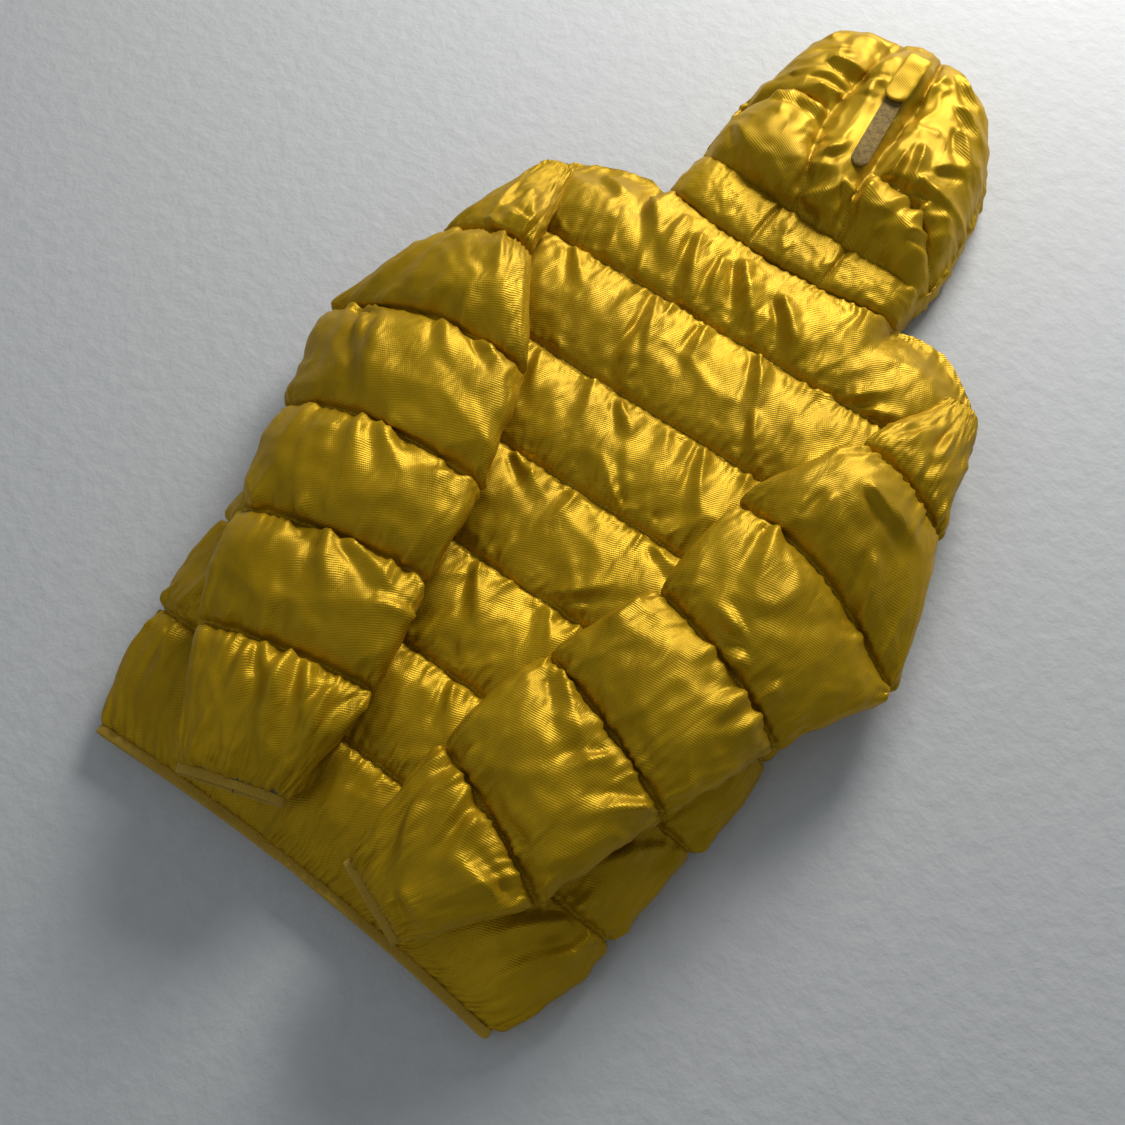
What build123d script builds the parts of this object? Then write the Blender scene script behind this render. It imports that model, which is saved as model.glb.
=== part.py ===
from build123d import *
import os

# Hooded quilted down jacket, lying face down: back up, both sleeves folded over the back.
# Frame: origin on the ground under the middle of the box, +Y from hem to hood, +Z up, mm.

# Layers, from the ground up
FRONT_TOP = 24.6            # inner face of the front panels
POCKET_BAG_TOP = 25.2
FRONT_LINING = (25.4, 26.2)
BACK_LINING = (33.2, 34.0)
BACK_BASE = 34.0            # inner face of the back panel
BACK_CREST = 62.0
SLEEVE_BOTTOM = 62.8        # clears the back's crests by 0.8
SLEEVE_UNDER_TOP = 76.0
SLEEVE_LININGS = ((76.0, 76.8), (83.2, 84.0))
SLEEVE_BASE = 84.0
SLEEVE_CREST = 116.0
HOOD_CREST = 92.0

# Plan sizes
HEM_Y = -510.0
NECK_Y = 200.0
COLLAR_TOP_Y = 251.0
HOOD_Y = (253.0, 512.0)
HOOD_HALF = 138.0
COLLAR_HALF = 128.0
BAFFLE_LINES = [-510, -408, -313, -215, -114, -12, 98, 222]
FABRIC = 1.5                # shell fabric with its seam, drawn thick
RIM = 6.0                   # height of a quilting line above the inner face
SEAM_WIDTH = 6.0
BINDING = 8.0               # width of the elastic bindings
BINDING_OUT = 2.0           # how far a binding stands past the edge it covers
CORNER = 12.0
TALL = 200.0                # taller than the whole jacket
WIDE = 400.0                # wider than half the jacket

# Zips
CHANNEL = 9.0               # half the gap that a zip lies in
CHAIN_Z = 18.0
TOOTH = 1.8                 # half the thickness of the tooth rows
POCKET_X = 165.0
POCKET_Y = (-335.0, -165.0)
POCKET_BAG_X = (40.0, 200.0)
POCKET_BAG_Y = (-400.0, -150.0)
FRONT_ZIP_Y = (-503.0, 244.0)
SLIDER = (4.6, 6.5)         # half width and half length of a slider's plates
PULL_REACH = 26.0
PARKED = 16.0               # from a zip's top end to its slider's middle

HEM_MIDDLE_Y = -503.0
HEM_CORNER_X = 206.0
BODY_SIDE = [(HEM_CORNER_X, HEM_Y), (240, -440), (253, -340), (264, -230), (256, -90), (247, 40),
             (249, 160), (212, 200), (162, 215), (138, NECK_Y)]
SLEEVE_OUTLINE = [(-234, 150), (-269, 24), (-310, -90), (-264, -206), (-219, -307), (-181, -404),
                  (-146, -462), (-106, -506), (-30, -482), (-24, -440), (-38, -370), (-60, -270),
                  (-88, -176), (-115, -60), (-188, 60), (-204, 142)]
SHOULDER = (-222, 118)      # where the left sleeve turns
SLEEVE_AIM = (-66, -494)    # middle of the left cuff
SLEEVE_SEAM_Y = (-466.0, 60.0)
CUFF_EDGE = slice(7, 9)     # the outline's points at the two corners of the cuff
SLEEVE_LINES = [-60, 69, 198, 314, 419, 522, 650]

os.makedirs("parts", exist_ok=True)


def finish(name, label):
    """Name a finished sub-part and write it."""
    name.part.label = label
    export_step(name.part, f"parts/{label}.step")


def mirrored(points):
    """A closed outline from its right half."""
    return points + [(-x, y) for x, y in reversed(points) if x]


def hem_y(x):
    """Where the hem's edge lies at a place across the jacket."""
    return HEM_MIDDLE_Y + (HEM_Y - HEM_MIDDLE_Y) * abs(x) / HEM_CORNER_X


def prism(points, low, high, inset=0.0, corner=CORNER):
    """An upright prism over an outline with rounded corners."""
    with BuildPart() as block:
        with BuildSketch(Plane.XY.offset(low)) as plan:
            with BuildLine():
                Polyline(*points, close=True)
            make_face()
            fillet(plan.vertices(), corner)
            if inset:
                offset(amount=-inset, kind=Kind.ARC, mode=Mode.REPLACE)
        extrude(amount=high - low)
    return block


def ridge(plane, start, end, base, rim, crest, flat):
    """One baffle's section swept across the jacket: an arch, or an arch with a flat top."""
    with BuildPart() as block:
        with BuildSketch(plane):
            with BuildLine():
                Line((start, base), (start, rim))
                if flat:
                    lean = (end - start) * 0.12
                    rise = rim + (crest - rim) * 0.72
                    ThreePointArc((start, rim), (start + lean * 0.28, rise), (start + lean, crest))
                    Line((start + lean, crest), (end - lean, crest))
                    ThreePointArc((end - lean, crest), (end - lean * 0.28, rise), (end, rim))
                else:
                    ThreePointArc((start, rim), ((start + end) / 2, crest), (end, rim))
                Line((end, rim), (end, base))
                Line((end, base), (start, base))
            make_face()
        extrude(amount=WIDE, both=True)
    return block


def quilted(plane, lines, base, crest, outline, inset=0.0, flat=False, cut=()):
    """A row of baffles over an outline; with an inset, the hollows inside those baffles."""
    up = 1 if crest > base else -1
    with BuildPart() as panel:
        for start, end in zip(lines, lines[1:]):
            low = base + up * inset
            arch = ridge(plane, start + inset, end - inset, low, base + up * RIM, crest - up * inset, flat)
            add(arch.part)
        add(prism(outline, min(base, crest), max(base, crest), inset).part, mode=Mode.INTERSECT)
        for hole in cut:
            add(hole.part, mode=Mode.SUBTRACT)
    return panel


def shell_and_fill(label, plane, lines, base, crest, outline, flat=False, cut=(), cut_fill=()):
    """The sewn shell of a quilted panel and the down that fills its chambers."""
    fill = quilted(plane, lines, base, crest, outline, FABRIC, flat, cut_fill)
    whole = quilted(plane, lines, base, crest, outline, 0.0, flat, cut)
    with BuildPart() as shell:
        add(whole.part)
        add(fill.part, mode=Mode.SUBTRACT)
    finish(shell, f"{label}_shell")
    finish(fill, f"{label}_down_fill")


def box(x, y, z):
    """A block between pairs of limits."""
    with BuildPart() as block:
        with BuildSketch(Plane.XY.offset(min(z))):
            with Locations(((x[0] + x[1]) / 2, (y[0] + y[1]) / 2)):
                Rectangle(abs(x[1] - x[0]), abs(y[1] - y[0]))
        extrude(amount=abs(z[1] - z[0]))
    return block


def edge_ring(outline, width, low, high):
    """A band of even width round the inside of an outline."""
    with BuildPart() as ring:
        add(prism(outline, low, high).part)
        add(prism(outline, low, high, width).part, mode=Mode.SUBTRACT)
    return ring


def kept(shape, *limits):
    """The part of a shape inside the given boxes."""
    with BuildPart() as piece:
        for limit in limits:
            add(limit.part)
        add(shape.part, mode=Mode.INTERSECT)
    return piece


BODY = mirrored([(0, HEM_MIDDLE_Y)] + BODY_SIDE + [(0, NECK_Y)])

# Back panel, its down and its lining
shell_and_fill("back", Plane.YZ, BAFFLE_LINES, BACK_BASE, BACK_CREST, BODY)
back_lining = prism(BODY, *BACK_LINING, FABRIC)
finish(back_lining, "back_lining")

# Front panels, face down: flat where they bear on the ground, with a slot for each hand pocket
FRONT_HALF = [(CHANNEL, hem_y(CHANNEL))] + BODY_SIDE + [(CHANNEL, NECK_Y)]
for side, turn in (("right", 1), ("left", -1)):
    outline = [(turn * x, y) for x, y in FRONT_HALF]
    low, high = sorted((turn * (POCKET_X - CHANNEL), turn * (POCKET_X + CHANNEL)))
    slot = box((low, high), POCKET_Y, (-1, FRONT_TOP + 1))
    slot_wall = box((low - FABRIC, high + FABRIC), (POCKET_Y[0] - FABRIC, POCKET_Y[1] + FABRIC),
                    (-1, FRONT_TOP + 1))
    shell_and_fill(f"{side}_front", Plane.YZ, BAFFLE_LINES, FRONT_TOP, 0.0, outline, True,
                   (slot,), (slot_wall,))
    front_lining = prism(outline, *FRONT_LINING, FABRIC)
    finish(front_lining, f"{side}_front_lining")
    low, high = sorted((turn * POCKET_BAG_X[0], turn * POCKET_BAG_X[1]))
    pocket_bag = box((low, high), POCKET_BAG_Y, (FRONT_TOP, POCKET_BAG_TOP))
    finish(pocket_bag, f"{side}_pocket_bag")

# Seams that close the body between front and back: sides and shoulders, with the armholes left open
SIDE_SEAM_X = 180.0         # the side seams lie further out than this
SIDE_SEAM_Y = (-490.0, -60.0)
SHOULDER_SEAM_X = 135.0     # the shoulder seams lie further out than this
SHOULDER_SEAM_Y = (172.0, 230.0)
body_ring = edge_ring(BODY, SEAM_WIDTH, FRONT_LINING[1], BACK_LINING[0])
side_seams = kept(body_ring, box((-WIDE, -SIDE_SEAM_X), SIDE_SEAM_Y, (0, TALL)),
                  box((SIDE_SEAM_X, WIDE), SIDE_SEAM_Y, (0, TALL)))
finish(side_seams, "side_seams")
shoulder_seams = kept(body_ring, box((-WIDE, -SHOULDER_SEAM_X), SHOULDER_SEAM_Y, (0, TALL)),
                      box((SHOULDER_SEAM_X, WIDE), SHOULDER_SEAM_Y, (0, TALL)))
finish(shoulder_seams, "shoulder_seams")

# Elastic binding along the hem: the back's edge and each front's edge, in straight runs
def bound_edge(start, end, low, turn=1):
    """A run of binding laid against the edge from one point to another, on its outer side."""
    run = Vector(*end) - Vector(*start)
    out = Vector(run.Y, -run.X).normalized() * BINDING_OUT * turn
    corners = [start, end, (end[0] + out.X, end[1] + out.Y), (start[0] + out.X, start[1] + out.Y)]
    with BuildPart() as strip:
        with BuildSketch(Plane.XY.offset(low)):
            with BuildLine():
                Polyline(*corners, close=True)
            make_face()
        extrude(amount=BINDING)
    return strip


def group(*pieces):
    """Several separate solids that belong to one sub-part."""
    with BuildPart() as together:
        for piece in pieces:
            add(piece.part)
    return together


BACK_HEM_LOW = BACK_BASE
FRONT_HEM_LOW = FRONT_TOP - BINDING
HEM_RUN_X = (6.0, 198.0)
hem_runs = []
for turn in (1, -1):
    ends = [(turn * x, hem_y(x)) for x in HEM_RUN_X]
    front_start = (turn * (CHANNEL + BINDING), hem_y(CHANNEL + BINDING))
    hem_runs.append(bound_edge(*ends, BACK_HEM_LOW, turn))
    hem_runs.append(bound_edge(front_start, ends[1], FRONT_HEM_LOW, turn))
hem_binding = group(*hem_runs)
finish(hem_binding, "hem_binding")

# Collar: a quilted band behind the neck, one half at each side of the zip, and their side seams
def rectangle(left, right, low, high):
    """The corners of an upright rectangle in plan."""
    return [(left, low), (right, low), (right, high), (left, high)]


COLLAR_LINES = [NECK_Y, COLLAR_TOP_Y]
COLLAR_CREST = 60.0
COLLAR_QUILTING = 38.0      # upright quilting lines, from the middle
COLLAR_SEAM_Y = (212.0, 238.0)
collar_cuts = [box((x - FABRIC, x + FABRIC), COLLAR_LINES, (0, TALL))
               for x in (-COLLAR_QUILTING, COLLAR_QUILTING)]
shell_and_fill("collar_back", Plane.YZ, COLLAR_LINES, BACK_BASE, COLLAR_CREST,
               rectangle(-COLLAR_HALF, COLLAR_HALF, *COLLAR_LINES), cut_fill=collar_cuts)
for side, turn in (("right", 1), ("left", -1)):
    near, far = sorted((turn * CHANNEL, turn * COLLAR_HALF))
    collar_front = quilted(Plane.YZ, COLLAR_LINES, FRONT_TOP, 0.0, rectangle(near, far, *COLLAR_LINES),
                           flat=True)
    finish(collar_front, f"{side}_collar_front")
seam_out, seam_in = COLLAR_HALF - 1, COLLAR_HALF - 1 - SEAM_WIDTH
collar_side_seams = group(box((-seam_out, -seam_in), COLLAR_SEAM_Y, (FRONT_TOP, BACK_BASE)),
                          box((seam_in, seam_out), COLLAR_SEAM_Y, (FRONT_TOP, BACK_BASE)))
finish(collar_side_seams, "collar_side_seams")
LOOP_HALF = 28.0
LOOP_Y = (186.0, 193.0)
LOOP_THICK = 0.8
hanger_loop = box((-LOOP_HALF, LOOP_HALF), LOOP_Y, (BACK_LINING[0] - LOOP_THICK, BACK_LINING[0]))
finish(hanger_loop, "hanger_loop")


# Sleeves: an upper and an under panel with the arm's way between them
def sleeve(side, turn):
    """One sleeve, folded over the back, from its outline on the given side."""
    outline = [(-turn * x, y) for x, y in SLEEVE_OUTLINE]
    shoulder = Vector(-turn * SHOULDER[0], SHOULDER[1])
    along = (Vector(-turn * SLEEVE_AIM[0], SLEEVE_AIM[1]) - shoulder).normalized()
    plane = Plane(origin=shoulder, x_dir=along, z_dir=Vector(along.Y, -along.X))
    shell_and_fill(f"{side}_sleeve_upper", plane, SLEEVE_LINES, SLEEVE_BASE, SLEEVE_CREST, outline)
    under = quilted(plane, SLEEVE_LINES, SLEEVE_UNDER_TOP, SLEEVE_BOTTOM, outline, flat=True)
    finish(under, f"{side}_sleeve_under")
    lining = group(*[prism(outline, low, high, FABRIC) for low, high in SLEEVE_LININGS])
    finish(lining, f"{side}_sleeve_lining")
    ring = edge_ring(outline, SEAM_WIDTH, SLEEVE_LININGS[0][1], SLEEVE_LININGS[1][0])
    seams = kept(ring, box((-WIDE, WIDE), SLEEVE_SEAM_Y, (0, TALL)))
    finish(seams, f"{side}_sleeve_seams")
    outer, inner = [Vector(*point) for point in outline[CUFF_EDGE]]
    start, end = outer + (inner - outer) * 0.2, outer + (inner - outer) * 0.8
    ends = (start.X, start.Y), (end.X, end.Y)
    cuff = group(bound_edge(*ends, SLEEVE_BASE, -turn), bound_edge(*ends, SLEEVE_UNDER_TOP - BINDING, -turn))
    finish(cuff, f"{side}_cuff_binding")


sleeve("left", -1)
sleeve("right", 1)

# Hood: three padded panels above, two cheeks and a brim round the face opening below
HOOD_HALF_PLAN = [(0, HOOD_Y[1]), (60, 505), (100, 478), (122, 430), (HOOD_HALF, 360), (HOOD_HALF, 290),
                  (128, HOOD_Y[0])]
HOOD = mirrored(HOOD_HALF_PLAN)
HOOD_RIM = 48.0
HOOD_FLAT_Y = (330.0, 450.0)
HOOD_FLAT_X = 70.0
HOOD_SHOULDER = 78.0        # height of the hood part of the way up its rounded edges
HOOD_SEAM = 28.0            # the centre panel's edges, from the middle
FACE = (50.0, 468.0)        # half width of the face opening, and its far end
FACE_GAP = 2.0              # how far the cheeks and the brim stay back from the binding's inner face
FACE_BINDING_Z = (6.0, 6.0 + BINDING)
HOOD_SEAM_START = 275.0


def hood_block(left, right, inset=0.0):
    """A stretch of the hood's upper layer, crowned both ways."""
    low, rim, mid, crest = BACK_BASE + inset, HOOD_RIM, HOOD_SHOULDER - inset, HOOD_CREST - inset
    near, far = HOOD_Y[0] + inset, HOOD_Y[1] - inset
    side = HOOD_HALF - inset
    with BuildPart() as block:
        with BuildSketch(Plane.YZ.offset(left + inset)):
            with BuildLine():
                Line((near, low), (near, rim))
                ThreePointArc((near, rim), (near + 30, mid), (HOOD_FLAT_Y[0], crest))
                Line((HOOD_FLAT_Y[0], crest), (HOOD_FLAT_Y[1], crest))
                ThreePointArc((HOOD_FLAT_Y[1], crest), (far - 18, mid), (far, rim))
                Line((far, rim), (far, low))
                Line((far, low), (near, low))
            make_face()
        extrude(amount=right - left - 2 * inset)
        with BuildSketch(Plane.XZ):
            with BuildLine():
                Line((-side, low), (-side, rim))
                ThreePointArc((-side, rim), (-side + 22, mid), (-HOOD_FLAT_X, crest))
                Line((-HOOD_FLAT_X, crest), (HOOD_FLAT_X, crest))
                ThreePointArc((HOOD_FLAT_X, crest), (side - 22, mid), (side, rim))
                Line((side, rim), (side, low))
                Line((side, low), (-side, low))
            make_face()
        extrude(amount=2 * WIDE, both=True, mode=Mode.INTERSECT)
        add(prism(HOOD, 0, TALL, inset).part, mode=Mode.INTERSECT)
    return block


hood_fills = []
for label, left, right in (("hood_left_panel", -HOOD_HALF, -HOOD_SEAM),
                           ("hood_centre_panel", -HOOD_SEAM, HOOD_SEAM),
                           ("hood_right_panel", HOOD_SEAM, HOOD_HALF)):
    fill = hood_block(left, right, FABRIC)
    hood_fills.append(fill)
    with BuildPart() as panel:
        add(hood_block(left, right).part)
        add(fill.part, mode=Mode.SUBTRACT)
    finish(panel, label)
hood_down_fill = group(*hood_fills)
finish(hood_down_fill, "hood_down_fill")

hood_under = prism(HOOD, 0, FRONT_TOP)
face_side, face_end = FACE[0] + FACE_GAP, FACE[1] + FACE_GAP
left_hood_cheek = kept(hood_under, box((-HOOD_HALF, -face_side), (HOOD_Y[0], face_end), (0, TALL)))
finish(left_hood_cheek, "left_hood_cheek")
right_hood_cheek = kept(hood_under, box((face_side, HOOD_HALF), (HOOD_Y[0], face_end), (0, TALL)))
finish(right_hood_cheek, "right_hood_cheek")
hood_brim = kept(hood_under, box((-HOOD_HALF, HOOD_HALF), (face_end, HOOD_Y[1]), (0, TALL)))
finish(hood_brim, "hood_brim")
face_span = (HOOD_Y[0] + 10, FACE[1])
hood_edge_binding = group(box((-face_side, -FACE[0]), face_span, FACE_BINDING_Z),
                          box((FACE[0], face_side), face_span, FACE_BINDING_Z),
                          box((-FACE[0], FACE[0]), (FACE[1], face_end), FACE_BINDING_Z))
finish(hood_edge_binding, "hood_edge_binding")
hood_ring = edge_ring(HOOD, SEAM_WIDTH, FRONT_TOP, BACK_LINING[0])
hood_side_seam = kept(hood_ring, box((-HOOD_HALF, HOOD_HALF), (HOOD_SEAM_START, HOOD_Y[1]), (0, TALL)))
finish(hood_side_seam, "hood_side_seam")
hood_lining = prism(HOOD, *BACK_LINING, FABRIC)
finish(hood_lining, "hood_lining")

# Tab that gathers the hood, and the loop strip that it presses on
TAB_HINGE_Y = 450.0
TAB_HALF = 12.5
TAB_LENGTH = 58.0
TAB_X = 6.0
STRIP_PLACE = (11.0, 372.0)
STRIP_TURN = 8.0
STRIP_SIZE = (84.0, 18.0)
STRIP_TOP = HOOD_CREST + 1.4
TAB_Z = (STRIP_TOP + 0.4, STRIP_TOP + 2.8)
with BuildPart() as hood_tab:
    with BuildSketch(Plane.XY.offset(TAB_Z[0])):
        with Locations((TAB_X, TAB_HINGE_Y - 30)):
            RectangleRounded(2 * TAB_HALF, TAB_LENGTH, TAB_HALF - 0.5)
    extrude(amount=TAB_Z[1] - TAB_Z[0])
finish(hood_tab, "hood_tab")
with BuildPart() as hood_loop_strip:
    with BuildSketch(Plane.XY.offset(HOOD_CREST)):
        with Locations(Location(STRIP_PLACE, STRIP_TURN)):
            SlotOverall(*STRIP_SIZE, rotation=90)
    extrude(amount=STRIP_TOP - HOOD_CREST)
finish(hood_loop_strip, "hood_loop_strip")


# Zips: two tapes with a tooth row each, end stops, a slider and its pull
TEETH_X = (0.5, 3.2)        # from a zip's middle to the inner and outer side of a tooth row
TAPE_HALF = 0.5             # half a tape's thickness
STOP_HALF = 2.4             # half an end stop's height
SLIDER_HALF_HEIGHT = 4.0
SLIDER_PLATE = 1.2
POST = 0.2                  # half the thickness of the post between the tooth rows
BRIDGE_HEIGHT = 4.4
BRIDGE_LEG = 1.3
BRIDGE_SIZE = (1.2, 4.6)    # half width and half length
PULL_DROP = 5.5             # from the tooth rows down to the pull's middle
PULL_HALF = 4.0
PULL_THICK_HALF = 0.8
BAR_HALF = 0.7              # half the thickness of the bar under the bridge


def zip_chain(prefix, x, start, end):
    """The tapes and tooth rows of a zip that runs along Y."""
    span = (start + 12, end - 4)
    inner, outer = TEETH_X
    tape_z = (CHAIN_Z - TAPE_HALF, CHAIN_Z + TAPE_HALF)
    tapes = group(*[box((x + turn * outer, x + turn * CHANNEL), span, tape_z) for turn in (-1, 1)])
    finish(tapes, f"{prefix}_tapes")
    teeth = group(*[box((x + turn * inner, x + turn * outer), span, (CHAIN_Z - TOOTH, CHAIN_Z + TOOTH))
                    for turn in (-1, 1)])
    finish(teeth, f"{prefix}_teeth")


def zip_slider(prefix, x, y):
    """Two plates joined by a thin post between the tooth rows, with a bridge for the pull."""
    half, reach = SLIDER
    outer, inner = CHAIN_Z - SLIDER_HALF_HEIGHT, CHAIN_Z + SLIDER_HALF_HEIGHT
    wide, long = BRIDGE_SIZE
    arch = long - BRIDGE_LEG
    foot = outer - BRIDGE_HEIGHT
    with BuildPart() as slider:
        add(box((x - half, x + half), (y - reach, y + reach), (outer, outer + SLIDER_PLATE)).part)
        add(box((x - half, x + half), (y - reach, y + reach), (inner - SLIDER_PLATE, inner)).part)
        add(box((x - POST, x + POST), (y - 2, y + 4), (outer, inner)).part)
        add(box((x - wide, x + wide), (y - long, y + long), (foot, outer)).part)
        add(box((x - wide, x + wide), (y - arch, y + arch), (foot + BRIDGE_LEG, outer)).part,
            mode=Mode.SUBTRACT)
    finish(slider, f"{prefix}_slider")


def zip_pull(prefix, x, y):
    """A flat pull whose bar passes under the slider's bridge."""
    z = CHAIN_Z - PULL_DROP
    slab = (z - PULL_THICK_HALF, z + PULL_THICK_HALF)
    with BuildPart() as pull:
        add(box((x - PULL_HALF, x + PULL_HALF), (y - PULL_REACH, y - 7), slab).part)
        for turn in (-1, 1):
            add(box((x + turn * 2.2, x + turn * PULL_HALF), (y - 8, y + BAR_HALF), slab).part)
        add(box((x - 3, x + 3), (y - BAR_HALF, y + BAR_HALF), (z - BAR_HALF, z + BAR_HALF)).part)
    finish(pull, f"{prefix}_pull")


def end_stop(x, start, end, half):
    """A small block across a zip's end."""
    return box((x - half, x + half), (start, end), (CHAIN_Z - STOP_HALF, CHAIN_Z + STOP_HALF))


zip_chain("front_zip", 0.0, *FRONT_ZIP_Y)
zip_slider("front_zip", 0.0, FRONT_ZIP_Y[1] - PARKED)
zip_pull("front_zip", 0.0, FRONT_ZIP_Y[1] - PARKED)
front_zip_stops = group(end_stop(0.0, FRONT_ZIP_Y[0] + 2, FRONT_ZIP_Y[0] + 12, 4.8),
                        end_stop(-2.2, FRONT_ZIP_Y[1] - 4, FRONT_ZIP_Y[1] - 1, 1.4),
                        end_stop(2.2, FRONT_ZIP_Y[1] - 4, FRONT_ZIP_Y[1] - 1, 1.4))
finish(front_zip_stops, "front_zip_stops")
pocket_stops = []
for side, x in (("right", POCKET_X), ("left", -POCKET_X)):
    zip_chain(f"{side}_pocket_zip", x, *POCKET_Y)
    zip_slider(f"{side}_pocket_zip", x, POCKET_Y[1] - PARKED)
    zip_pull(f"{side}_pocket_zip", x, POCKET_Y[1] - PARKED)
    pocket_stops.append(end_stop(x, POCKET_Y[0] + 9, POCKET_Y[0] + 12, 3.6))
    pocket_stops.append(end_stop(x, POCKET_Y[1] - 4, POCKET_Y[1] - 1, 3.6))
pocket_zip_stops = group(*pocket_stops)
finish(pocket_zip_stops, "pocket_zip_stops")
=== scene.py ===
import math
import bmesh
import bpy
import numpy as np
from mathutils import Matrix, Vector
from mathutils.bvhtree import BVHTree


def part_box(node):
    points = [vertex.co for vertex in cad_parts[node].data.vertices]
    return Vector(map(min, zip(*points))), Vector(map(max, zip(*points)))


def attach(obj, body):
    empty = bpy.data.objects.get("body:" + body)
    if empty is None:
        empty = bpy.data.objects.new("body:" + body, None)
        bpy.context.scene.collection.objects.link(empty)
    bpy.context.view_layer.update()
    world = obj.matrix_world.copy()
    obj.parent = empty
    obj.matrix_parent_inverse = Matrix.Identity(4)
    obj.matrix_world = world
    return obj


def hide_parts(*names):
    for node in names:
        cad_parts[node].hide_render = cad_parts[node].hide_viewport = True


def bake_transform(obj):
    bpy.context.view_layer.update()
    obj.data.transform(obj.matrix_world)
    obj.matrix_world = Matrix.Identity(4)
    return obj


# Looks of a hooded quilted down jacket that lies face down, both sleeves folded over its back.
# Metres, in the row's frame: +Y from hem to hood, +X the wearer's right, +Z up.

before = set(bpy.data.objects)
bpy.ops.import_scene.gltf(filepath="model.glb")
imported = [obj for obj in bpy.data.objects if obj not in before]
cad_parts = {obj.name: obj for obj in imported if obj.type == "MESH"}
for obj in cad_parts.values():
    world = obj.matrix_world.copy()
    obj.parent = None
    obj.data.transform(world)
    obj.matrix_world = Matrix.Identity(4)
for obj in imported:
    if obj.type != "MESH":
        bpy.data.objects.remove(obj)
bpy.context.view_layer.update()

# ---------------------------------------------------------------- places taken from the frame
SLEEVE_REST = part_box("left_sleeve_under")[0].z
NECK_LOW_Y, NECK_HIGH_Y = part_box("collar_back_shell")[0].y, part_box("collar_back_shell")[1].y
HOOD_LOW_Y, HOOD_HIGH_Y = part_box("hood_lining")[0].y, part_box("hood_centre_panel")[1].y
ZIP_Z = (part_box("front_zip_tapes")[0].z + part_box("front_zip_tapes")[1].z) / 2
ZIP_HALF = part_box("front_zip_tapes")[1].x
POCKET_LOW, POCKET_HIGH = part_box("right_pocket_zip_tapes")

# ---------------------------------------------------------------- driving sizes
CELL = 0.005                      # cloth grid of torso and sleeves
FLOOR_GAP = 0.0003                # how far everything stays above the floor
SHAKE = 0.0006                    # random start of the cloth, so that it doesn't swell evenly
BAFFLE_Y = (-0.510, -0.408, -0.313, -0.215, -0.114, -0.012, 0.098)
SEAM_Z = 0.044                    # height of the back's quilting lines
HEM_Z = 0.021
NECK_HALF = 0.118
SHOULDER_Z = 0.024                # where back and front meet at the shoulders
BINDING_WIDTH, BINDING_THICK = 0.0086, 0.0032
LEFT, RIGHT = -1, 1

# half widths of the body: (y, left, right)
BODY_SIDES = ((-0.512, 0.206, 0.212), (-0.495, 0.214, 0.230), (-0.455, 0.228, 0.242), (-0.400, 0.239, 0.249),
              (-0.340, 0.247, 0.255), (-0.270, 0.252, 0.268), (-0.200, 0.254, 0.268), (-0.100, 0.252, 0.258),
              (0.050, 0.250, 0.252), (0.165, 0.250, 0.246), (0.225, 0.249, 0.246))
# upper edge of the back: shoulder, neck, shoulder
TOP_EDGE = ((-0.250, 0.158), (-0.228, 0.194), (-0.186, 0.214), (-0.152, 0.223), (-0.122, 0.209),
            (-0.060, 0.197), (0.000, 0.193), (0.060, 0.194), (0.118, 0.203), (0.155, 0.214), (0.185, 0.213),
            (0.205, 0.201), (0.232, 0.180), (0.250, 0.158))
# upper edge of the collar, where the hood starts
COLLAR_EDGE = ((-0.130, 0.269), (-0.060, 0.259), (0.000, 0.251), (0.055, 0.246), (0.105, 0.246),
               (0.140, 0.252))
COLLAR_LINES = (-0.022, 0.054)    # x of its upright quilting lines

# each sleeve's quilting lines, root to cuff: outer end, inner end, bow towards the shoulder
LEFT_LINES = (((-0.243, 0.158), (-0.214, 0.172), 0.000), ((-0.264, 0.026), (-0.176, 0.048), 0.004),
              ((-0.300, -0.097), (-0.099, -0.062), 0.010), ((-0.258, -0.207), (-0.061, -0.176), 0.010),
              ((-0.212, -0.309), (-0.044, -0.270), 0.004), ((-0.168, -0.405), (-0.019, -0.369), 0.002),
              ((-0.104, -0.504), (-0.020, -0.476), 0.000))
RIGHT_LINES = (((0.246, 0.156), (0.216, 0.160), 0.000), ((0.277, 0.028), (0.180, 0.050), 0.006),
               ((0.313, -0.113), (0.126, -0.060), 0.010), ((0.262, -0.214), (0.117, -0.165), 0.002),
               ((0.223, -0.314), (0.077, -0.263), 0.002), ((0.185, -0.424), (0.056, -0.371), 0.002),
               ((0.116, -0.506), (0.050, -0.482), 0.000))
SLEEVES = {"left_sleeve": (LEFT, LEFT_LINES), "right_sleeve": (RIGHT, RIGHT_LINES)}


# ---------------------------------------------------------------- numbers and noise
def smooth(x):
    """0 below 0, 1 above 1 and smooth between."""
    x = np.clip(x, 0.0, 1.0)
    return x * x * (3 - 2 * x)


def along(table, x, column=1):
    """A value between the rows of a listed table, at x."""
    return np.interp(x, [row[0] for row in table], [row[column] for row in table])


def noise(x, y, seed):
    """Smooth noise from -1 to 1, one lattice cell per unit of x and y."""
    size = 97
    table = np.random.default_rng(seed).uniform(-1, 1, (size, size))
    x, y = np.broadcast_arrays(np.asarray(x, float), np.asarray(y, float))
    i, j = np.floor(x).astype(int), np.floor(y).astype(int)
    fx, fy = smooth(x - i), smooth(y - j)
    i, j, i1, j1 = i % size, j % size, (i + 1) % size, (j + 1) % size
    low = table[i, j] * (1 - fx) + table[i1, j] * fx
    high = table[i, j1] * (1 - fx) + table[i1, j1] * fx
    return low * (1 - fy) + high * fy


def crowded(step, steps):
    """Share of the way across a baffle at a row, with the rows closest together at the seams."""
    t = step / steps
    return t - 0.085 * math.sin(2 * math.pi * t)


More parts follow.
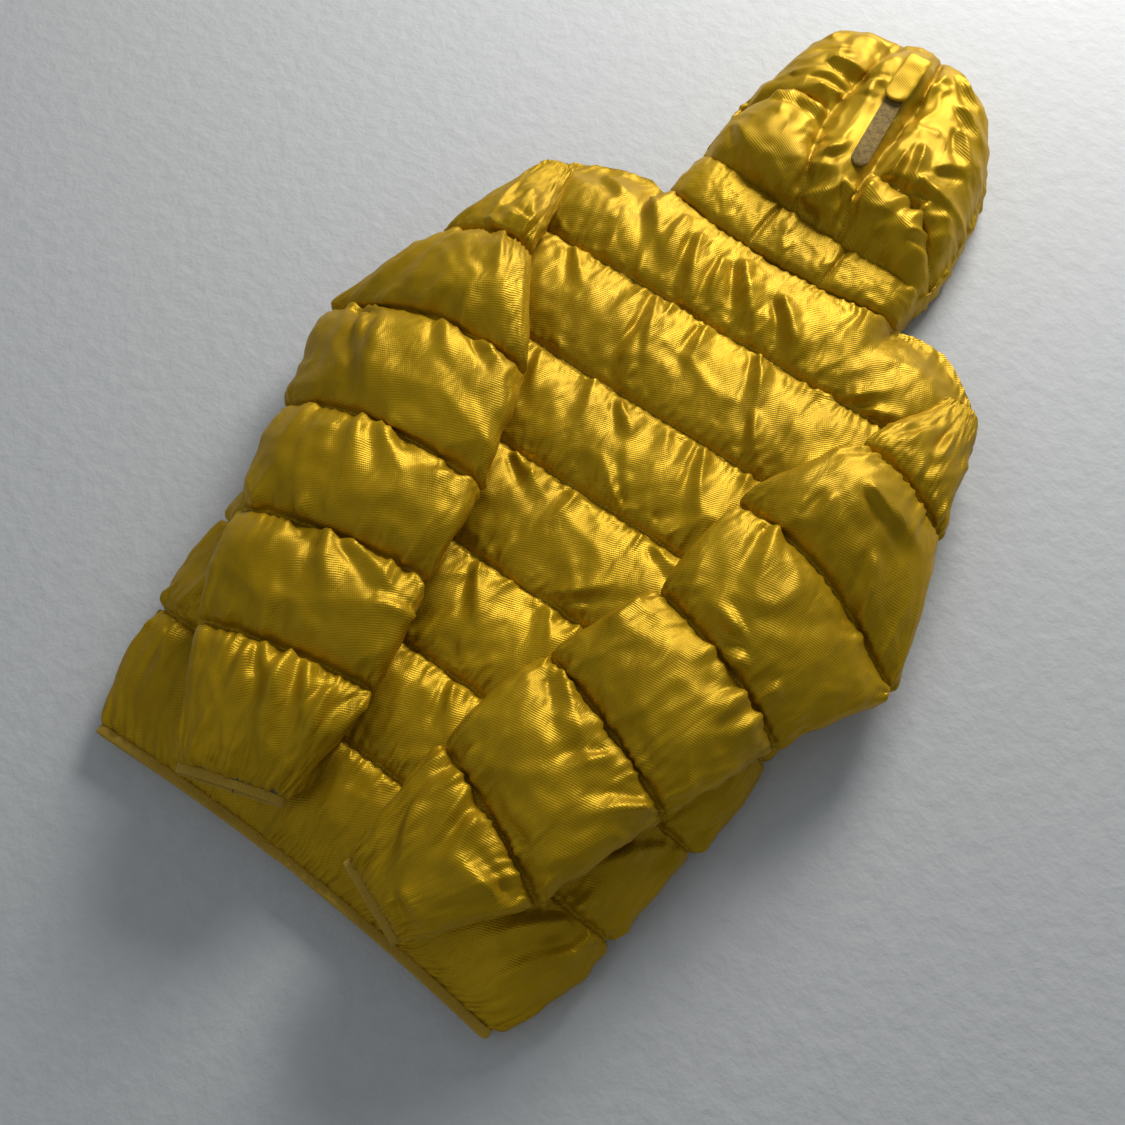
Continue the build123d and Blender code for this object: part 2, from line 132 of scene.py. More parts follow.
def dome(t):
    """Half an ellipse over t from 0 to 1: how far fabric between two seams swells."""
    return np.sqrt(np.clip(4 * t * (1 - t), 0, 1))


def powered(value, power):
    """A power of a value's size, with the value's sign: turns a circle into a squarer round."""
    return np.sign(value) * np.abs(value) ** power


def travelled(path):
    """How far each point of a path lies from its start, along the path."""
    return np.concatenate([[0], np.cumsum(np.linalg.norm(np.diff(path, axis=0), axis=1))])


def at_stations(path, reach, stations):
    """The path's places at distances from its start."""
    return np.stack([np.interp(stations, reach, path[:, k]) for k in range(path.shape[1])], 1)


# ---------------------------------------------------------------- meshes
def placed(name, data):
    """An object in the scene."""
    made = bpy.data.objects.new(name, data)
    bpy.context.scene.collection.objects.link(made)
    return made


def grid_faces(index, closed=False, flipped=False):
    """Quads over a 2-D array of point numbers; closed joins its last column to its first."""
    wide = np.concatenate([index, index[:, :1]], 1) if closed else index
    quads = np.stack([wide[:-1, :-1], wide[1:, :-1], wide[1:, 1:], wide[:-1, 1:]], -1).reshape(-1, 4)
    return quads[:, ::-1] if flipped else quads


def numbered(rows, columns, start=0):
    return np.arange(rows * columns).reshape(rows, columns) + start


def piece(name, points, faces, material, uv=None, fields=None):
    """A smooth-shaded mesh object, with its cloth coordinates in a UV map and its fields as attributes."""
    mesh = bpy.data.meshes.new(name)
    mesh.from_pydata(np.asarray(points, float).tolist(), [], [tuple(map(int, f)) for f in faces])
    mesh.update()
    mesh.polygons.foreach_set("use_smooth", np.ones(len(mesh.polygons), bool))
    if uv is not None:
        corner = np.empty(len(mesh.loops), np.int32)
        mesh.loops.foreach_get("vertex_index", corner)
        mesh.uv_layers.new(name="cloth").data.foreach_set("uv", np.asarray(uv, np.float32)[corner].ravel())
    for key, values in (fields or {}).items():
        mesh.attributes.new(key, "FLOAT", "POINT").data.foreach_set("value", np.asarray(values, np.float32))
    if material is not None:
        mesh.materials.append(material)
    return placed(name, mesh)


def points_of(mesh):
    co = np.empty(len(mesh.vertices) * 3, np.float32)
    mesh.vertices.foreach_get("co", co)
    return co.reshape(-1, 3).astype(float)


def normals_of(mesh):
    n = np.empty(len(mesh.vertices) * 3, np.float32)
    mesh.vertex_normals.foreach_get("vector", n)
    return n.reshape(-1, 3).astype(float)


def settled(points, faces, pinned, rest, pressure=4.0, bending=0.1, steps=24):
    """The cloth after it swells under pressure, held where pinned. rest is the larger, cut fabric."""
    cloth = piece("cloth_run", points, faces, None)
    cloth.shape_key_add(name="Basis")
    cut = cloth.shape_key_add(name="cut")
    cut.data.foreach_set("co", np.asarray(rest, np.float32).ravel())
    cut.value = 0.0
    held = cloth.vertex_groups.new(name="held")
    held.add([int(i) for i in np.flatnonzero(pinned)], 1.0, "REPLACE")
    run = cloth.modifiers.new("cloth", "CLOTH")
    run.collision_settings.use_collision = False
    how = run.settings
    how.quality, how.mass, how.air_damping = 5, 0.3, 1.0
    how.tension_stiffness = how.compression_stiffness = 15.0
    how.shear_stiffness, how.bending_stiffness = 5.0, bending
    how.tension_damping = how.compression_damping = how.shear_damping = 5.0
    how.bending_damping = 0.5
    how.vertex_group_mass, how.pin_stiffness = "held", 1.0
    how.rest_shape_key = cut
    how.use_pressure, how.uniform_pressure_force = True, pressure
    how.effector_weights.gravity = 0.0
    for step in range(1, steps + 1):
        bpy.context.scene.frame_set(step)
    swollen = cloth.evaluated_get(bpy.context.evaluated_depsgraph_get())
    result = points_of(swollen.data)
    bpy.context.scene.frame_set(1)
    bpy.data.objects.remove(cloth)
    return result


def refined(name, points, faces, material, fields):
    """The settled cloth with one level of subdivision, and what each of its points carries.

    fields are u, v: a point's place in the cloth; gap: its distance from the nearest sewn line; side: which
    side of its baffle it is on; hem: its distance from a bound edge.
    """
    rough = piece(name, points, faces, material, np.stack([fields["u"], fields["v"]], 1), fields)
    rough.modifiers.new("fine", "SUBSURF").levels = 1
    fine = bpy.data.meshes.new_from_object(rough.evaluated_get(bpy.context.evaluated_depsgraph_get()))
    bpy.data.objects.remove(rough)
    made = placed(name, fine)
    carried = {}
    for key in fields:
        values = np.empty(len(fine.vertices), np.float32)
        fine.attributes[key].data.foreach_get("value", values)
        carried[key] = values.astype(float)
        fine.attributes.remove(fine.attributes[key])
    return made, carried


def reshape(made, points):
    """Gives a piece new points, with nothing below the floor."""
    points = points.copy()
    points[:, 2] = np.maximum(points[:, 2], FLOOR_GAP)
    made.data.vertices.foreach_set("co", points.astype(np.float32).ravel())
    made.data.update()


def pucker(u, v, gap, side, seed, pitch=0.011, reach=0.010):
    """Height, 0 to 1, of the short folds that a sewn line draws into fabric at gap from it."""
    wander = 0.5 * noise(u / 0.03, v / 0.02, seed) + 0.9 * noise(u / 0.05, side * 7.7, seed + 1)
    ridge = 1 - np.abs(np.sin(math.pi * (u / pitch + wander)))
    longer = 0.55 + 0.45 * noise(u / 0.016, side * 5.3, seed + 2)
    length = reach * (0.5 + 1.8 * longer ** 2)
    return ridge * longer * np.exp(-gap / length) * (1 - np.exp(-gap / 0.0025))


def crumple(u, v, seed, size):
    """Sharp-edged folds in all directions, about size apart, -1 to 1."""
    bend_u, bend_v = noise(u / size, v / size, seed), noise(u / size, v / size, seed + 1)
    first = np.abs(noise(u / size + bend_u, v / size + bend_v, seed + 2))
    second = np.abs(noise(u / size * 1.9 - bend_v, v / size * 1.9 + bend_u, seed + 3))
    return 1 - 1.6 * first - 0.9 * second


def seam_rows_of(share):
    """Which rows of a grid lie on a sewn line."""
    return (share < 1e-6) | (share > 1 - 1e-6)


CREASE_SPACING, CREASE_LENGTH, CREASE_LEAN, CREASE_BEND = 0.034, (0.020, 0.080), 0.50, 0.008


def creases(u, v, seams, reach, seed, tallest):
    """Height of the longer folds that start at sewn lines, at cloth places u, v; seams are the lines' v."""
    draw = np.random.default_rng(seed)
    rise = np.zeros(len(u))
    for seam in seams:
        for side in (-1, 1):
            for start in np.arange(0, reach, CREASE_SPACING) + draw.uniform(0, CREASE_SPACING):
                at = start + draw.normal(0, CREASE_SPACING * 0.35)
                length, lean = draw.uniform(*CREASE_LENGTH), draw.normal(0, CREASE_LEAN)
                height, bend = tallest * draw.uniform(0.15, 1.0) ** 1.3, draw.normal(0, CREASE_BEND)
                over, beside = (v - seam) * side, u - at
                run = over * math.cos(lean) + beside * math.sin(lean)
                off = beside * math.cos(lean) - over * math.sin(lean) + bend * (run / length) ** 2
                taper = smooth(run / 0.008) * smooth(1.05 - run / length) * (over > 0)
                width = 0.0030 + 0.05 * length
                trough = 0.6 * np.exp(-((off - 2.2 * width) / (1.4 * width)) ** 2)
                rise += height * taper * (np.exp(-np.abs(off) / width) - trough)
    return rise


def tents(co, lines):
    """Height at places co of listed folds: each from x, y to x, y, its height and half width, in mm."""
    rise = np.zeros(len(co))
    for line in lines:
        x0, y0, x1, y1, height, width = (value / 1000 for value in line)
        length = math.hypot(x1 - x0, y1 - y0)
        ahead, aside = (x1 - x0) / length, (y1 - y0) / length
        run = (co[:, 0] - x0) * ahead + (co[:, 1] - y0) * aside
        off = (co[:, 1] - y0) * ahead - (co[:, 0] - x0) * aside
        off = off + 0.04 * length * np.sin(math.pi * np.clip(run / length, 0, 1)) * np.sign(height)
        t = np.clip(run / length, -1, 2)
        taper = smooth((run + 0.004) / 0.012) * smooth((1.08 - t) / 0.75)
        wide = width * (0.55 + 0.95 * np.clip(t, 0, 1))
        gentle = np.exp(-(np.clip(off, 0, None) / wide) ** 1.4)
        steep = np.exp(-(np.clip(-off, 0, None) / (0.42 * wide)) ** 1.6)
        trough = 0.45 * np.exp(-((off + 1.15 * wide) / (0.45 * wide)) ** 2)
        rise += abs(height) * taper * (np.where(off > 0, gentle, steep) - trough)
    return rise


GROOVE_DEPTH, GROOVE_REACH = 0.0024, 0.0030      # how a sewn line sinks into the fabric


def dress(made, carried, seed, folds, fine, hem_reach=0.018, seams=(), tallest=0.0056, lines=(), loose=1.0):
    """Puckers, creases and laid folds on a refined piece. loose is how free its fabric is, 0 to 1."""
    co, normal = points_of(made.data), normals_of(made.data)
    u, v, gap, side = carried["u"], carried["v"], carried["gap"], np.sign(carried["side"])
    rise = folds * pucker(u, v, gap, side, seed)
    rise += 0.7 * folds * pucker(u, v, carried["hem"], 0 * u, seed + 9, 0.015, hem_reach)
    rise += fine * crumple(u, v, seed + 20, 0.060) * smooth(gap / 0.03)
    rise += creases(u, v, seams, u.max(), seed + 50, tallest)
    rise += tents(co, lines) * smooth((normal[:, 2] + 0.1) / 0.5) * smooth(gap / 0.006)
    rise -= GROOVE_DEPTH * np.exp(-gap / GROOVE_REACH)
    reshape(made, co + normal * (rise * loose)[:, None])
    return made


def tree_of(made):
    return BVHTree.FromPolygons([v.co for v in made.data.vertices], [p.vertices for p in made.data.polygons])


def on_surface(tree, points, lift):
    """The points moved onto a surface and lifted off it, and the surface's normals there."""
    places, normals = [], []
    for p in points:
        place, normal, _, _ = tree.find_nearest(Vector(p))
        places.append(place + normal * lift)
        normals.append(normal)
    return np.array(places), np.array(normals)


def spaced(path, pitch):
    """Points every pitch along a path."""
    reach = travelled(path)
    return at_stations(path, reach, np.arange(pitch / 2, reach[-1], pitch))


STITCH_PITCH, STITCH_LENGTH, STITCH_HALF = 0.0036, 0.0025, 0.00042


def stitches(name, tree, paths, material):
    """Sewn stitches along the paths, each a small six-pointed bead that lies on the fabric."""
    points, faces = [], []
    for path in paths:
        middle, normal = on_surface(tree, spaced(path, STITCH_PITCH), 0.0003)
        run = tangents(middle, False)
        across = np.cross(normal, run)
        for m, n, r, a in zip(middle, normal, run, across):
            start = len(points)
            points += [m - r * STITCH_LENGTH / 2, m + r * STITCH_LENGTH / 2, m + a * STITCH_HALF,
                       m + n * STITCH_HALF, m - a * STITCH_HALF, m - n * STITCH_HALF]
            for k in range(4):
                this, following = start + 2 + k, start + 2 + (k + 1) % 4
                faces += [(start, following, this), (start + 1, this, following)]
    return piece(name, points, faces, material)


def band(name, path, width_way, face_way, material, width, thick, closed, ribs=0.0035):
    """A flat elastic band with rounded edges along a path; width_way and face_way give its section's axes."""
    count = 14
    turn = np.arange(count) * 2 * math.pi / count
    flat, tall = powered(np.cos(turn), 0.5), powered(np.sin(turn), 0.6)
    steps = np.linalg.norm(np.diff(path, axis=0, append=path[:1]), axis=1)
    reach = np.concatenate([[0], np.cumsum(steps)[:-1]])
    swell = 1 + 0.10 * np.sin(2 * math.pi * reach / ribs) + 0.14 * noise(reach / 0.012, 0.0, 71)
    section = path[:, None, :] + width_way[:, None, :] * (flat * width / 2)[None, :, None]
    section = section + face_way[:, None, :] * (tall[None, :] * swell[:, None] * thick / 2)[:, :, None]
    rows = len(path)
    index = numbered(rows, count)
    faces = grid_faces(np.concatenate([index, index[:1]]) if closed else index, closed=True)
    points = section.reshape(-1, 3)
    if not closed:
        ends = [tuple(index[0, ::-1]), tuple(index[-1])]
        faces = [tuple(f) for f in faces] + ends
    uv = np.stack([np.repeat(reach, count), np.tile(turn / (2 * math.pi) * 2 * width, rows)], 1)
    return outward(piece(name, points, faces, material, uv))


def outward(made):
    """Turns a closed piece's faces outwards."""
    work = bmesh.new()
    work.from_mesh(made.data)
    bmesh.ops.recalc_face_normals(work, faces=work.faces)
    work.to_mesh(made.data)
    work.free()
    return made


def resampled(path, pitch, closed=False):
    """The path with points about pitch apart."""
    ring = np.concatenate([path, path[:1]]) if closed else path
    reach = travelled(ring)
    count = int(reach[-1] / pitch)
    return at_stations(ring, reach, np.linspace(0, reach[-1], count + 1)[:count + (0 if closed else 1)])


# ---------------------------------------------------------------- materials
class Look:
    """A material with a Principled shader, and short ways to add nodes to it."""

    def __init__(self, name):
        self.material = bpy.data.materials.new(name)
        self.material.use_nodes = True
        self.nodes, self.links = self.material.node_tree.nodes, self.material.node_tree.links
        self.place = self.nodes.new("ShaderNodeTexCoord").outputs["Object"]

    def given(self, node, **inputs):
        """The node with its inputs set to values, or linked where the value is a socket."""
        for key, value in inputs.items():
            socket = node.inputs[key.replace("_", " ")]
            if isinstance(value, bpy.types.NodeSocket):
                self.links.new(value, socket)
            else:
                socket.default_value = value
        return node

    def added(self, kind, **inputs):
        return self.given(self.nodes.new("ShaderNode" + kind), **inputs)

    def cloth(self):
        """The piece's own cloth coordinates."""
        node = self.added("UVMap")
        node.uv_map = "cloth"
        return node.outputs["UV"]

    def mapped(self, source, scale=(1, 1, 1), turn=0.0):
        return self.added("Mapping", Vector=source, Scale=scale, Rotation=(0, 0, turn)).outputs["Vector"]

    def wave(self, source, bands="X", **inputs):
        node = self.added("TexWave", Vector=source, **inputs)
        node.bands_direction = bands
        return node.outputs["Fac"]

    def noise(self, **inputs):
        return self.added("TexNoise", **inputs).outputs["Fac"]

    def mixed(self, factor, low, high):
        """Two colours mixed by a factor."""
        node = self.nodes.new("ShaderNodeMix")
        node.data_type = "RGBA"
        return self.given(node, A=(*low, 1), B=(*high, 1), Factor=factor).outputs["Result"]

    def ranged(self, value, low, high, start=0.3, end=0.7):
        """A value from start..end moved to low..high."""
        return self.added("MapRange", Value=value, From_Min=start, From_Max=end, To_Min=low,
                          To_Max=high).outputs["Result"]

    def bumped(self, height, distance, strength=1.0, below=None):
        """A bump, on top of another one where below is given."""
        under = {} if below is None else {"Normal": below}
        node = self.added("Bump", Height=height, Distance=distance, Strength=strength, **under)
        return node.outputs["Normal"]

    def shaded(self, **inputs):
        self.given(self.nodes["Principled BSDF"], **inputs)
        return self.material


def shell_fabric():
    """Glossy coated nylon with fine slanting ribs, and creases too small for the mesh."""
    look = Look("shell_nylon")
    slanting = look.mapped(look.cloth(), turn=0.42)
    ribs = look.wave(slanting, "Y", Scale=160.0, Distortion=0.6, Detail=1.0, Detail_Scale=0.4)
    cross = look.wave(slanting, Scale=190.0, Distortion=0.5)
    tone = look.noise(Vector=look.place, Scale=11.0, Detail=4.0, Roughness=0.6)
    fine = look.noise(Vector=look.mapped(look.place, (1.0, 0.45, 1.0), 0.5), Scale=52.0, Detail=3.0,
                      Roughness=0.5, Distortion=0.8)
    normal = look.bumped(ribs, 0.00013, below=look.bumped(fine, 0.0013))
    return look.shaded(
        Base_Color=look.mixed(look.ranged(tone, 0, 1), (0.370, 0.216, 0.003), (0.530, 0.318, 0.006)),
        Roughness=look.ranged(fine, 0.35, 0.48), Normal=look.bumped(cross, 0.00003, below=normal),
        Metallic=0.36, Specular_IOR_Level=0.50, Specular_Tint=(1.0, 0.80, 0.22, 1), Sheen_Weight=0.05,
        Sheen_Roughness=0.35, Sheen_Tint=(1.0, 0.82, 0.35, 1))


def lining_fabric():
    """Thin plain taffeta, darker and duller than the shell."""
    look = Look("lining_taffeta")
    threads = look.wave(look.mapped(look.place, turn=0.1), Scale=220.0, Distortion=1.0, Detail=1.0)
    tone = look.noise(Vector=look.place, Scale=18.0, Detail=4.0)
    return look.shaded(Base_Color=look.mixed(tone, (0.060, 0.045, 0.018), (0.105, 0.078, 0.028)),
                       Roughness=look.ranged(tone, 0.42, 0.62),
                       Normal=look.bumped(threads, 0.00012, 0.8, look.bumped(tone, 0.0012)), Sheen_Weight=0.2)


def elastic_band():
    """Matt knitted stretch binding with fine crosswise ribs."""
    look = Look("elastic_binding")
    ribs = look.wave(look.cloth(), Scale=170.0, Distortion=0.4)
    fuzz = look.noise(Vector=look.place, Scale=900.0, Detail=3.0)
    tone = look.noise(Vector=look.place, Scale=40.0, Detail=3.0)
    return look.shaded(Base_Color=look.mixed(tone, (0.400, 0.232, 0.010), (0.580, 0.360, 0.024)),
                       Roughness=look.ranged(fuzz, 0.68, 0.86),
                       Normal=look.bumped(fuzz, 0.0002, 0.8, look.bumped(ribs, 0.0003)), Sheen_Weight=0.15,
                       Sheen_Tint=(1.0, 0.85, 0.5, 1))


def loop_pile():
    """Olive looped pile of the strip that the tab closes on."""
    look = Look("loop_pile")
    tufts = look.added("TexVoronoi", Vector=look.place, Scale=950.0).outputs["Distance"]
    tone = look.noise(Vector=look.place, Scale=220.0, Detail=4.0, Roughness=0.7)
    tone = look.ranged(tone, 0, 1, 0.35, 0.65)
    return look.shaded(Base_Color=look.mixed(tone, (0.130, 0.078, 0.008), (0.330, 0.205, 0.028)),
                       Roughness=look.ranged(tufts, 0.95, 0.75, 0.0, 0.6), Normal=look.bumped(tufts, 0.0006),
                       Sheen_Weight=0.1)


def thread():
    """Twisted sewing thread."""
    look = Look("sewing_thread")
    twist = look.wave(look.mapped(look.place, turn=0.8), Scale=520.0)
    return look.shaded(Base_Color=look.mixed(twist, (0.230, 0.130, 0.010), (0.480, 0.300, 0.030)),
                       Roughness=look.ranged(twist, 0.5, 0.7, 0, 1))


def woven_tape(name, low, high):
    """Herringbone zip or loop tape."""
    look = Look(name)
    weave = look.wave(look.mapped(look.place, turn=0.78), Scale=260.0, Distortion=2.0)
    return look.shaded(Base_Color=look.mixed(weave, low, high), Roughness=look.ranged(weave, 0.6, 0.8, 0, 1),
                       Normal=look.bumped(weave, 0.0002))


def cast_metal(name, low, high, shine, metallic):
    """Zip metal or moulded teeth, with rubbed spots."""
    look = Look(name)
    rubbed = look.noise(Vector=look.place, Scale=240.0, Detail=4.0)
    return look.shaded(Base_Color=look.mixed(rubbed, low, high), Metallic=metallic,
                       Roughness=look.ranged(rubbed, shine, shine + 0.2), Normal=look.bumped(rubbed, 0.00008))


# ---------------------------------------------------------------- torso
SIDE_REACH = 0.080                # how far in from the body's edge its rounded side starts
EDGE_Z = 0.020                    # height of the body's outermost line
SHOULDER_Y = 0.205                # where the top baffle ends, about
FRONT_LAG = 0.75                  # how far the front's rows lie behind the back's in the top baffle


def body_half(y, side):
    """Half width of the body on one side."""
    return along(BODY_SIDES, y, 1 if side == LEFT else 2)


def open_ring(right, left, top, bottom, side, edge_z, across):
    """A cross-section of body or collar, open at the zip: x and z of its points.

    It runs from the right zip edge along the front, round the right side, over the back, and so to the
    left zip edge. right and left are half widths, and side is how wide the rounding at the side is.
    """
    halves = []
    low = min(side * 0.35, 0.025)     # how wide the rounding under the side is
    for half in (right, left):
        lip = [(ZIP_HALF, ZIP_Z - 0.001), (ZIP_HALF + 0.0005, 0.012), (ZIP_HALF + 0.001, 0.006)]
        under = [(x, bottom) for x in np.linspace(ZIP_HALF + 0.005, half - low, 26, endpoint=False)]
        turn = np.linspace(0, math.pi / 2, 6, endpoint=False)
        heel = [(half - low + low * math.sin(a), edge_z - (edge_z - bottom) * math.cos(a)) for a in turn]
        turn = np.linspace(0, math.pi / 2, max(6, int(side * 1.5 / CELL)), endpoint=False)
        flank = [(half - side + side * math.cos(a), edge_z + (top - edge_z) * math.sin(a)) for a in turn]
        halves.append(np.array(lip + under + heel + flank))
    over = np.linspace(right - side, side - left, across)
    upper = np.stack([over, np.full(across, top)], 1)
    return np.concatenate([halves[0], upper, halves[1][::-1] * (-1, 1)])


def torso_rows():
    """The torso's grid: points, and each row's share of the way across its baffle and the baffle's depth."""
    steps = 20                        # rows in a baffle
    rows, share, depth = [], [], []
    for k, low in enumerate(BAFFLE_Y):
        last = k == len(BAFFLE_Y) - 1
        high = SHOULDER_Y if last else BAFFLE_Y[k + 1]
        for i in range(steps + last):
            t = crowded(i, steps)
            y_here = low + (high - low) * t
            swell = dome(t)
            seam_z = HEM_Z + (SEAM_Z - HEM_Z) * smooth(t) if k == 0 else SEAM_Z
            ring = open_ring(body_half(y_here, RIGHT) - 0.008 + 0.006 * swell,
                             body_half(y_here, LEFT) - 0.008 + 0.006 * swell,
                             seam_z + 0.011 * swell, 0.006 - 0.005 * swell, SIDE_REACH, EDGE_Z, 82)
            x, z = ring[:, 0], ring[:, 1]
            start = low
            if k == 0:                # the hem bows and its corners are drawn up
                out = np.abs(x)
                start = low + (0.004 - 0.010 * (out / 0.21) ** 2 + 0.024 * smooth((out - 0.2) / 0.04))
            end = along(TOP_EDGE, x) if last else high
            y = start + (end - start) * t
            if last:                  # shut at the shoulders, with the front kept short of the back's edge
                shut = smooth((np.abs(x) - NECK_HALF) / 0.02) * smooth((t - 0.45) / 0.55)
                z = z * (1 - shut) + SHOULDER_Z * shut
                y = y - (end - start) * (FRONT_LAG * t - FRONT_LAG * t ** 3.5) * (ring[:, 1] < EDGE_Z)
            sway = 0.0016 * noise(x / 0.05, k + 0.5, 11) * (1 - swell) * (k > 0 or i > 0)
            rows.append(np.stack([x, y + sway, z], 1))
            share.append(t)
            depth.append(high - low)
    return np.array(rows), np.array(share), np.array(depth)


def sleeve_cover(x, y):
    """1 under the middle of a sleeve, 0 away from both."""
    cover = np.zeros(len(x))
    for _, lines in SLEEVES.values():
        for (o0, i0, _), (o1, i1, _) in zip(lines[:-1], lines[1:]):
            middle_0, middle_1 = (np.add(o0, i0) / 2), (np.add(o1, i1) / 2)
            half_0, half_1 = (np.hypot(*np.subtract(o, i)) / 2 for o, i in ((o0, i0), (o1, i1)))
            axis = middle_1 - middle_0
            t = ((x - middle_0[0]) * axis[0] + (y - middle_0[1]) * axis[1]) / (axis @ axis)
            off = np.abs((x - middle_0[0]) * axis[1] - (y - middle_0[1]) * axis[0]) / np.hypot(*axis)
            half = half_0 + (half_1 - half_0) * np.clip(t, 0, 1)
            inside = smooth((half + 0.002 - off) / 0.018) * (t > -0.02) * (t < 1.02)
            cover = np.maximum(cover, inside)
    return cover


def pressed(co):
    """The back, held down where a sleeve lies on it."""
    cover = sleeve_cover(co[:, 0], co[:, 1])
    upper = co[:, 2] > EDGE_Z
    limit = SLEEVE_REST - 0.003
    down = np.maximum(co[:, 2] - limit, 0) * cover * upper
    co[:, 2] -= down
    return co


# spare fabric that falls into large folds: baffle from the hem, place across, how much, half its reach
SPINE_FOLDS = ((7, -0.045, 0.022, 0.045), (7, 0.050, 0.010, 0.030), (6, -0.020, 0.016, 0.035),
               (6, 0.120, 0.008, 0.040), (5, 0.010, 0.009, 0.035), (4, 0.060, 0.007, 0.040))


# large folds of the back in mm: from x, y to x, y, height and half width; minus bows the other way
BACK_FOLDS = ((-65, 172, -15, 80, 8, 13), (-32, 162, -10, 103, 7, 8), (-16, 170, 50, 103, 10, 14),
              (34, 156, 90, 100, -9, 12), (-132, 190, -72, 126, 5, 13), (-88, 185, -76, 118, 4, 10),
              (-190, 186, -130, 170, 5, 9), (140, 103, 176, 140, 5, 9), (158, 100, 196, 118, 4, 7),
              (110, 196, 120, 140, 4, 10), (-4, 94, 12, 40, 7, 9), (-60, 94, -14, 8, 7, 12),
              (50, 94, 86, 28, -7, 10), (82, 36, 118, -10, 6, 9), (-52, 60, -36, -8, 5, 9),
              (-158, 94, -106, 48, 5, 10), (146, -8, 168, 64, -5, 9), (-24, -22, 18, -52, 5, 9),
              (66, -18, 116, -98, 7, 11), (-112, -18, -80, -76, 5, 10), (36, -106, -8, -70, -4, 8),
              (-70, -118, -6, -142, 5, 10), (80, -122, 136, -134, 4, 9), (40, -208, 88, -160, 5, 9),
              (-30, -220, 20, -280, 5, 10), (20, -318, 50, -360, 5, 9), (-212, -404, -190, -330, 5, 10),
              (-200, -412, -180, -480, -6, 10), (-225, -420, -214, -490, 5, 8), (238, -322, 190, -392, 6, 11),
              (200, -318, 226, -380, -5, 9), (210, -415, 160, -470, 7, 12), (150, -412, 120, -470, -6, 10),
              (225, -430, 180, -500, 5, 9))


POCKET_SLOT_HALF = 0.0075
BACK_COLUMN = 70                  # a column of the torso's grid that runs up its back


def make_torso(shell):
    """Back and fronts: their piece, its settled grid, and which of the grid's rows are sewn."""
    rows, share, depth = torso_rows()
    count, wide, _ = rows.shape
    points = rows.reshape(-1, 3)
    seam_rows = seam_rows_of(share)
    pinned = np.zeros((count, wide), bool)
    pinned[seam_rows] = True
    pinned[:, :3] = pinned[:, -3:] = True
    faces = grid_faces(numbered(count, wide))
    middle = points[faces].mean(1)
    pocket = ((np.abs(np.abs(middle[:, 0]) - (POCKET_LOW.x + POCKET_HIGH.x) / 2) < POCKET_SLOT_HALF)
              & (middle[:, 2] < 0.015) & (middle[:, 1] > POCKET_LOW.y) & (middle[:, 1] < POCKET_HIGH.y))
    rim = np.zeros(count * wide, bool)
    rim[faces[pocket].ravel()] = True
    rim = rim.reshape(count, wide)
    faces = faces[~pocket]
    pinned |= rim
    shaken = points + np.random.default_rng(5).normal(0, SHAKE, points.shape) * ~pinned.reshape(-1, 1)
    cut = points * (1.045, 1.045, 1.05)
    baffle = np.repeat(np.searchsorted(BAFFLE_Y, rows[:, BACK_COLUMN, 1] + 0.001), wide)
    cut[:, 0] += 0.009 * noise(points[:, 0] / 0.075, baffle * 1.37, 17)
    for k, middle_x, extra, reach in SPINE_FOLDS:
        cut[:, 0] += extra * smooth((points[:, 0] - middle_x + reach) / (2 * reach)) * (baffle == k)
    settled_points = settled(shaken, faces, pinned.ravel(), cut, pressure=4.0, bending=0.45)
    settled_points = pressed(settled_points)
    reach = travelled(rows[30])
    near = np.repeat(np.minimum(share, 1 - share) * depth, wide)
    shoulder = (points[:, 1] > 0.150) & (np.abs(points[:, 0]) > NECK_HALF)
    near[shoulder] = np.maximum(near[shoulder], 0.018)
    fields = {"u": np.tile(reach, count), "v": points[:, 1] + 1, "gap": near,
              "side": np.repeat(np.where(share < 0.5, 1.0, -1.0), wide),
              "hem": points[:, 1] - BAFFLE_Y[0] + 0.002}
    torso, carried = refined("torso_quilting", settled_points, faces, shell, fields)
    dress(torso, carried, 31, 0.0050, 0.0020, seams=np.array(BAFFLE_Y[1:]) + 1, lines=BACK_FOLDS)
    return torso, settled_points.reshape(count, wide, 3), seam_rows


# ---------------------------------------------------------------- sleeves
# large folds of the sleeves
LEFT_FOLDS = ((-226, 52, -180, 42, 6, 9), (-190, 68, -222, 62, -5, 9), (-215, 110, -205, 60, 6, 10),
              (-275, -92, -212, -64, 6, 11), (-232, -88, -176, -176, 7, 13), (-190, -66, -152, -104, -6, 9),
              (-150, -64, -98, -80, 6, 9), (-250, -100, -180, -172, 5, 10), (-178, -180, -142, -244, 8, 13),
              (-160, -176, -100, -176, -7, 12), (-170, -180, -100, -215, 6, 12),
              (-62, -176, -116, -222, 4, 9), (-170, -282, -108, -292, 6, 12), (-130, -286, -82, -342, 7, 12),
              (-116, -286, -42, -302, -6, 10), (-20, -300, -86, -336, 5, 11), (-108, -392, -60, -424, 6, 9),
              (-86, -380, -54, -466, 8, 12), (-70, -384, -30, -440, -7, 10), (-40, -388, -22, -448, 6, 10),
              (-16, -378, -16, -424, 5, 8), (-118, -396, -98, -460, -5, 9))
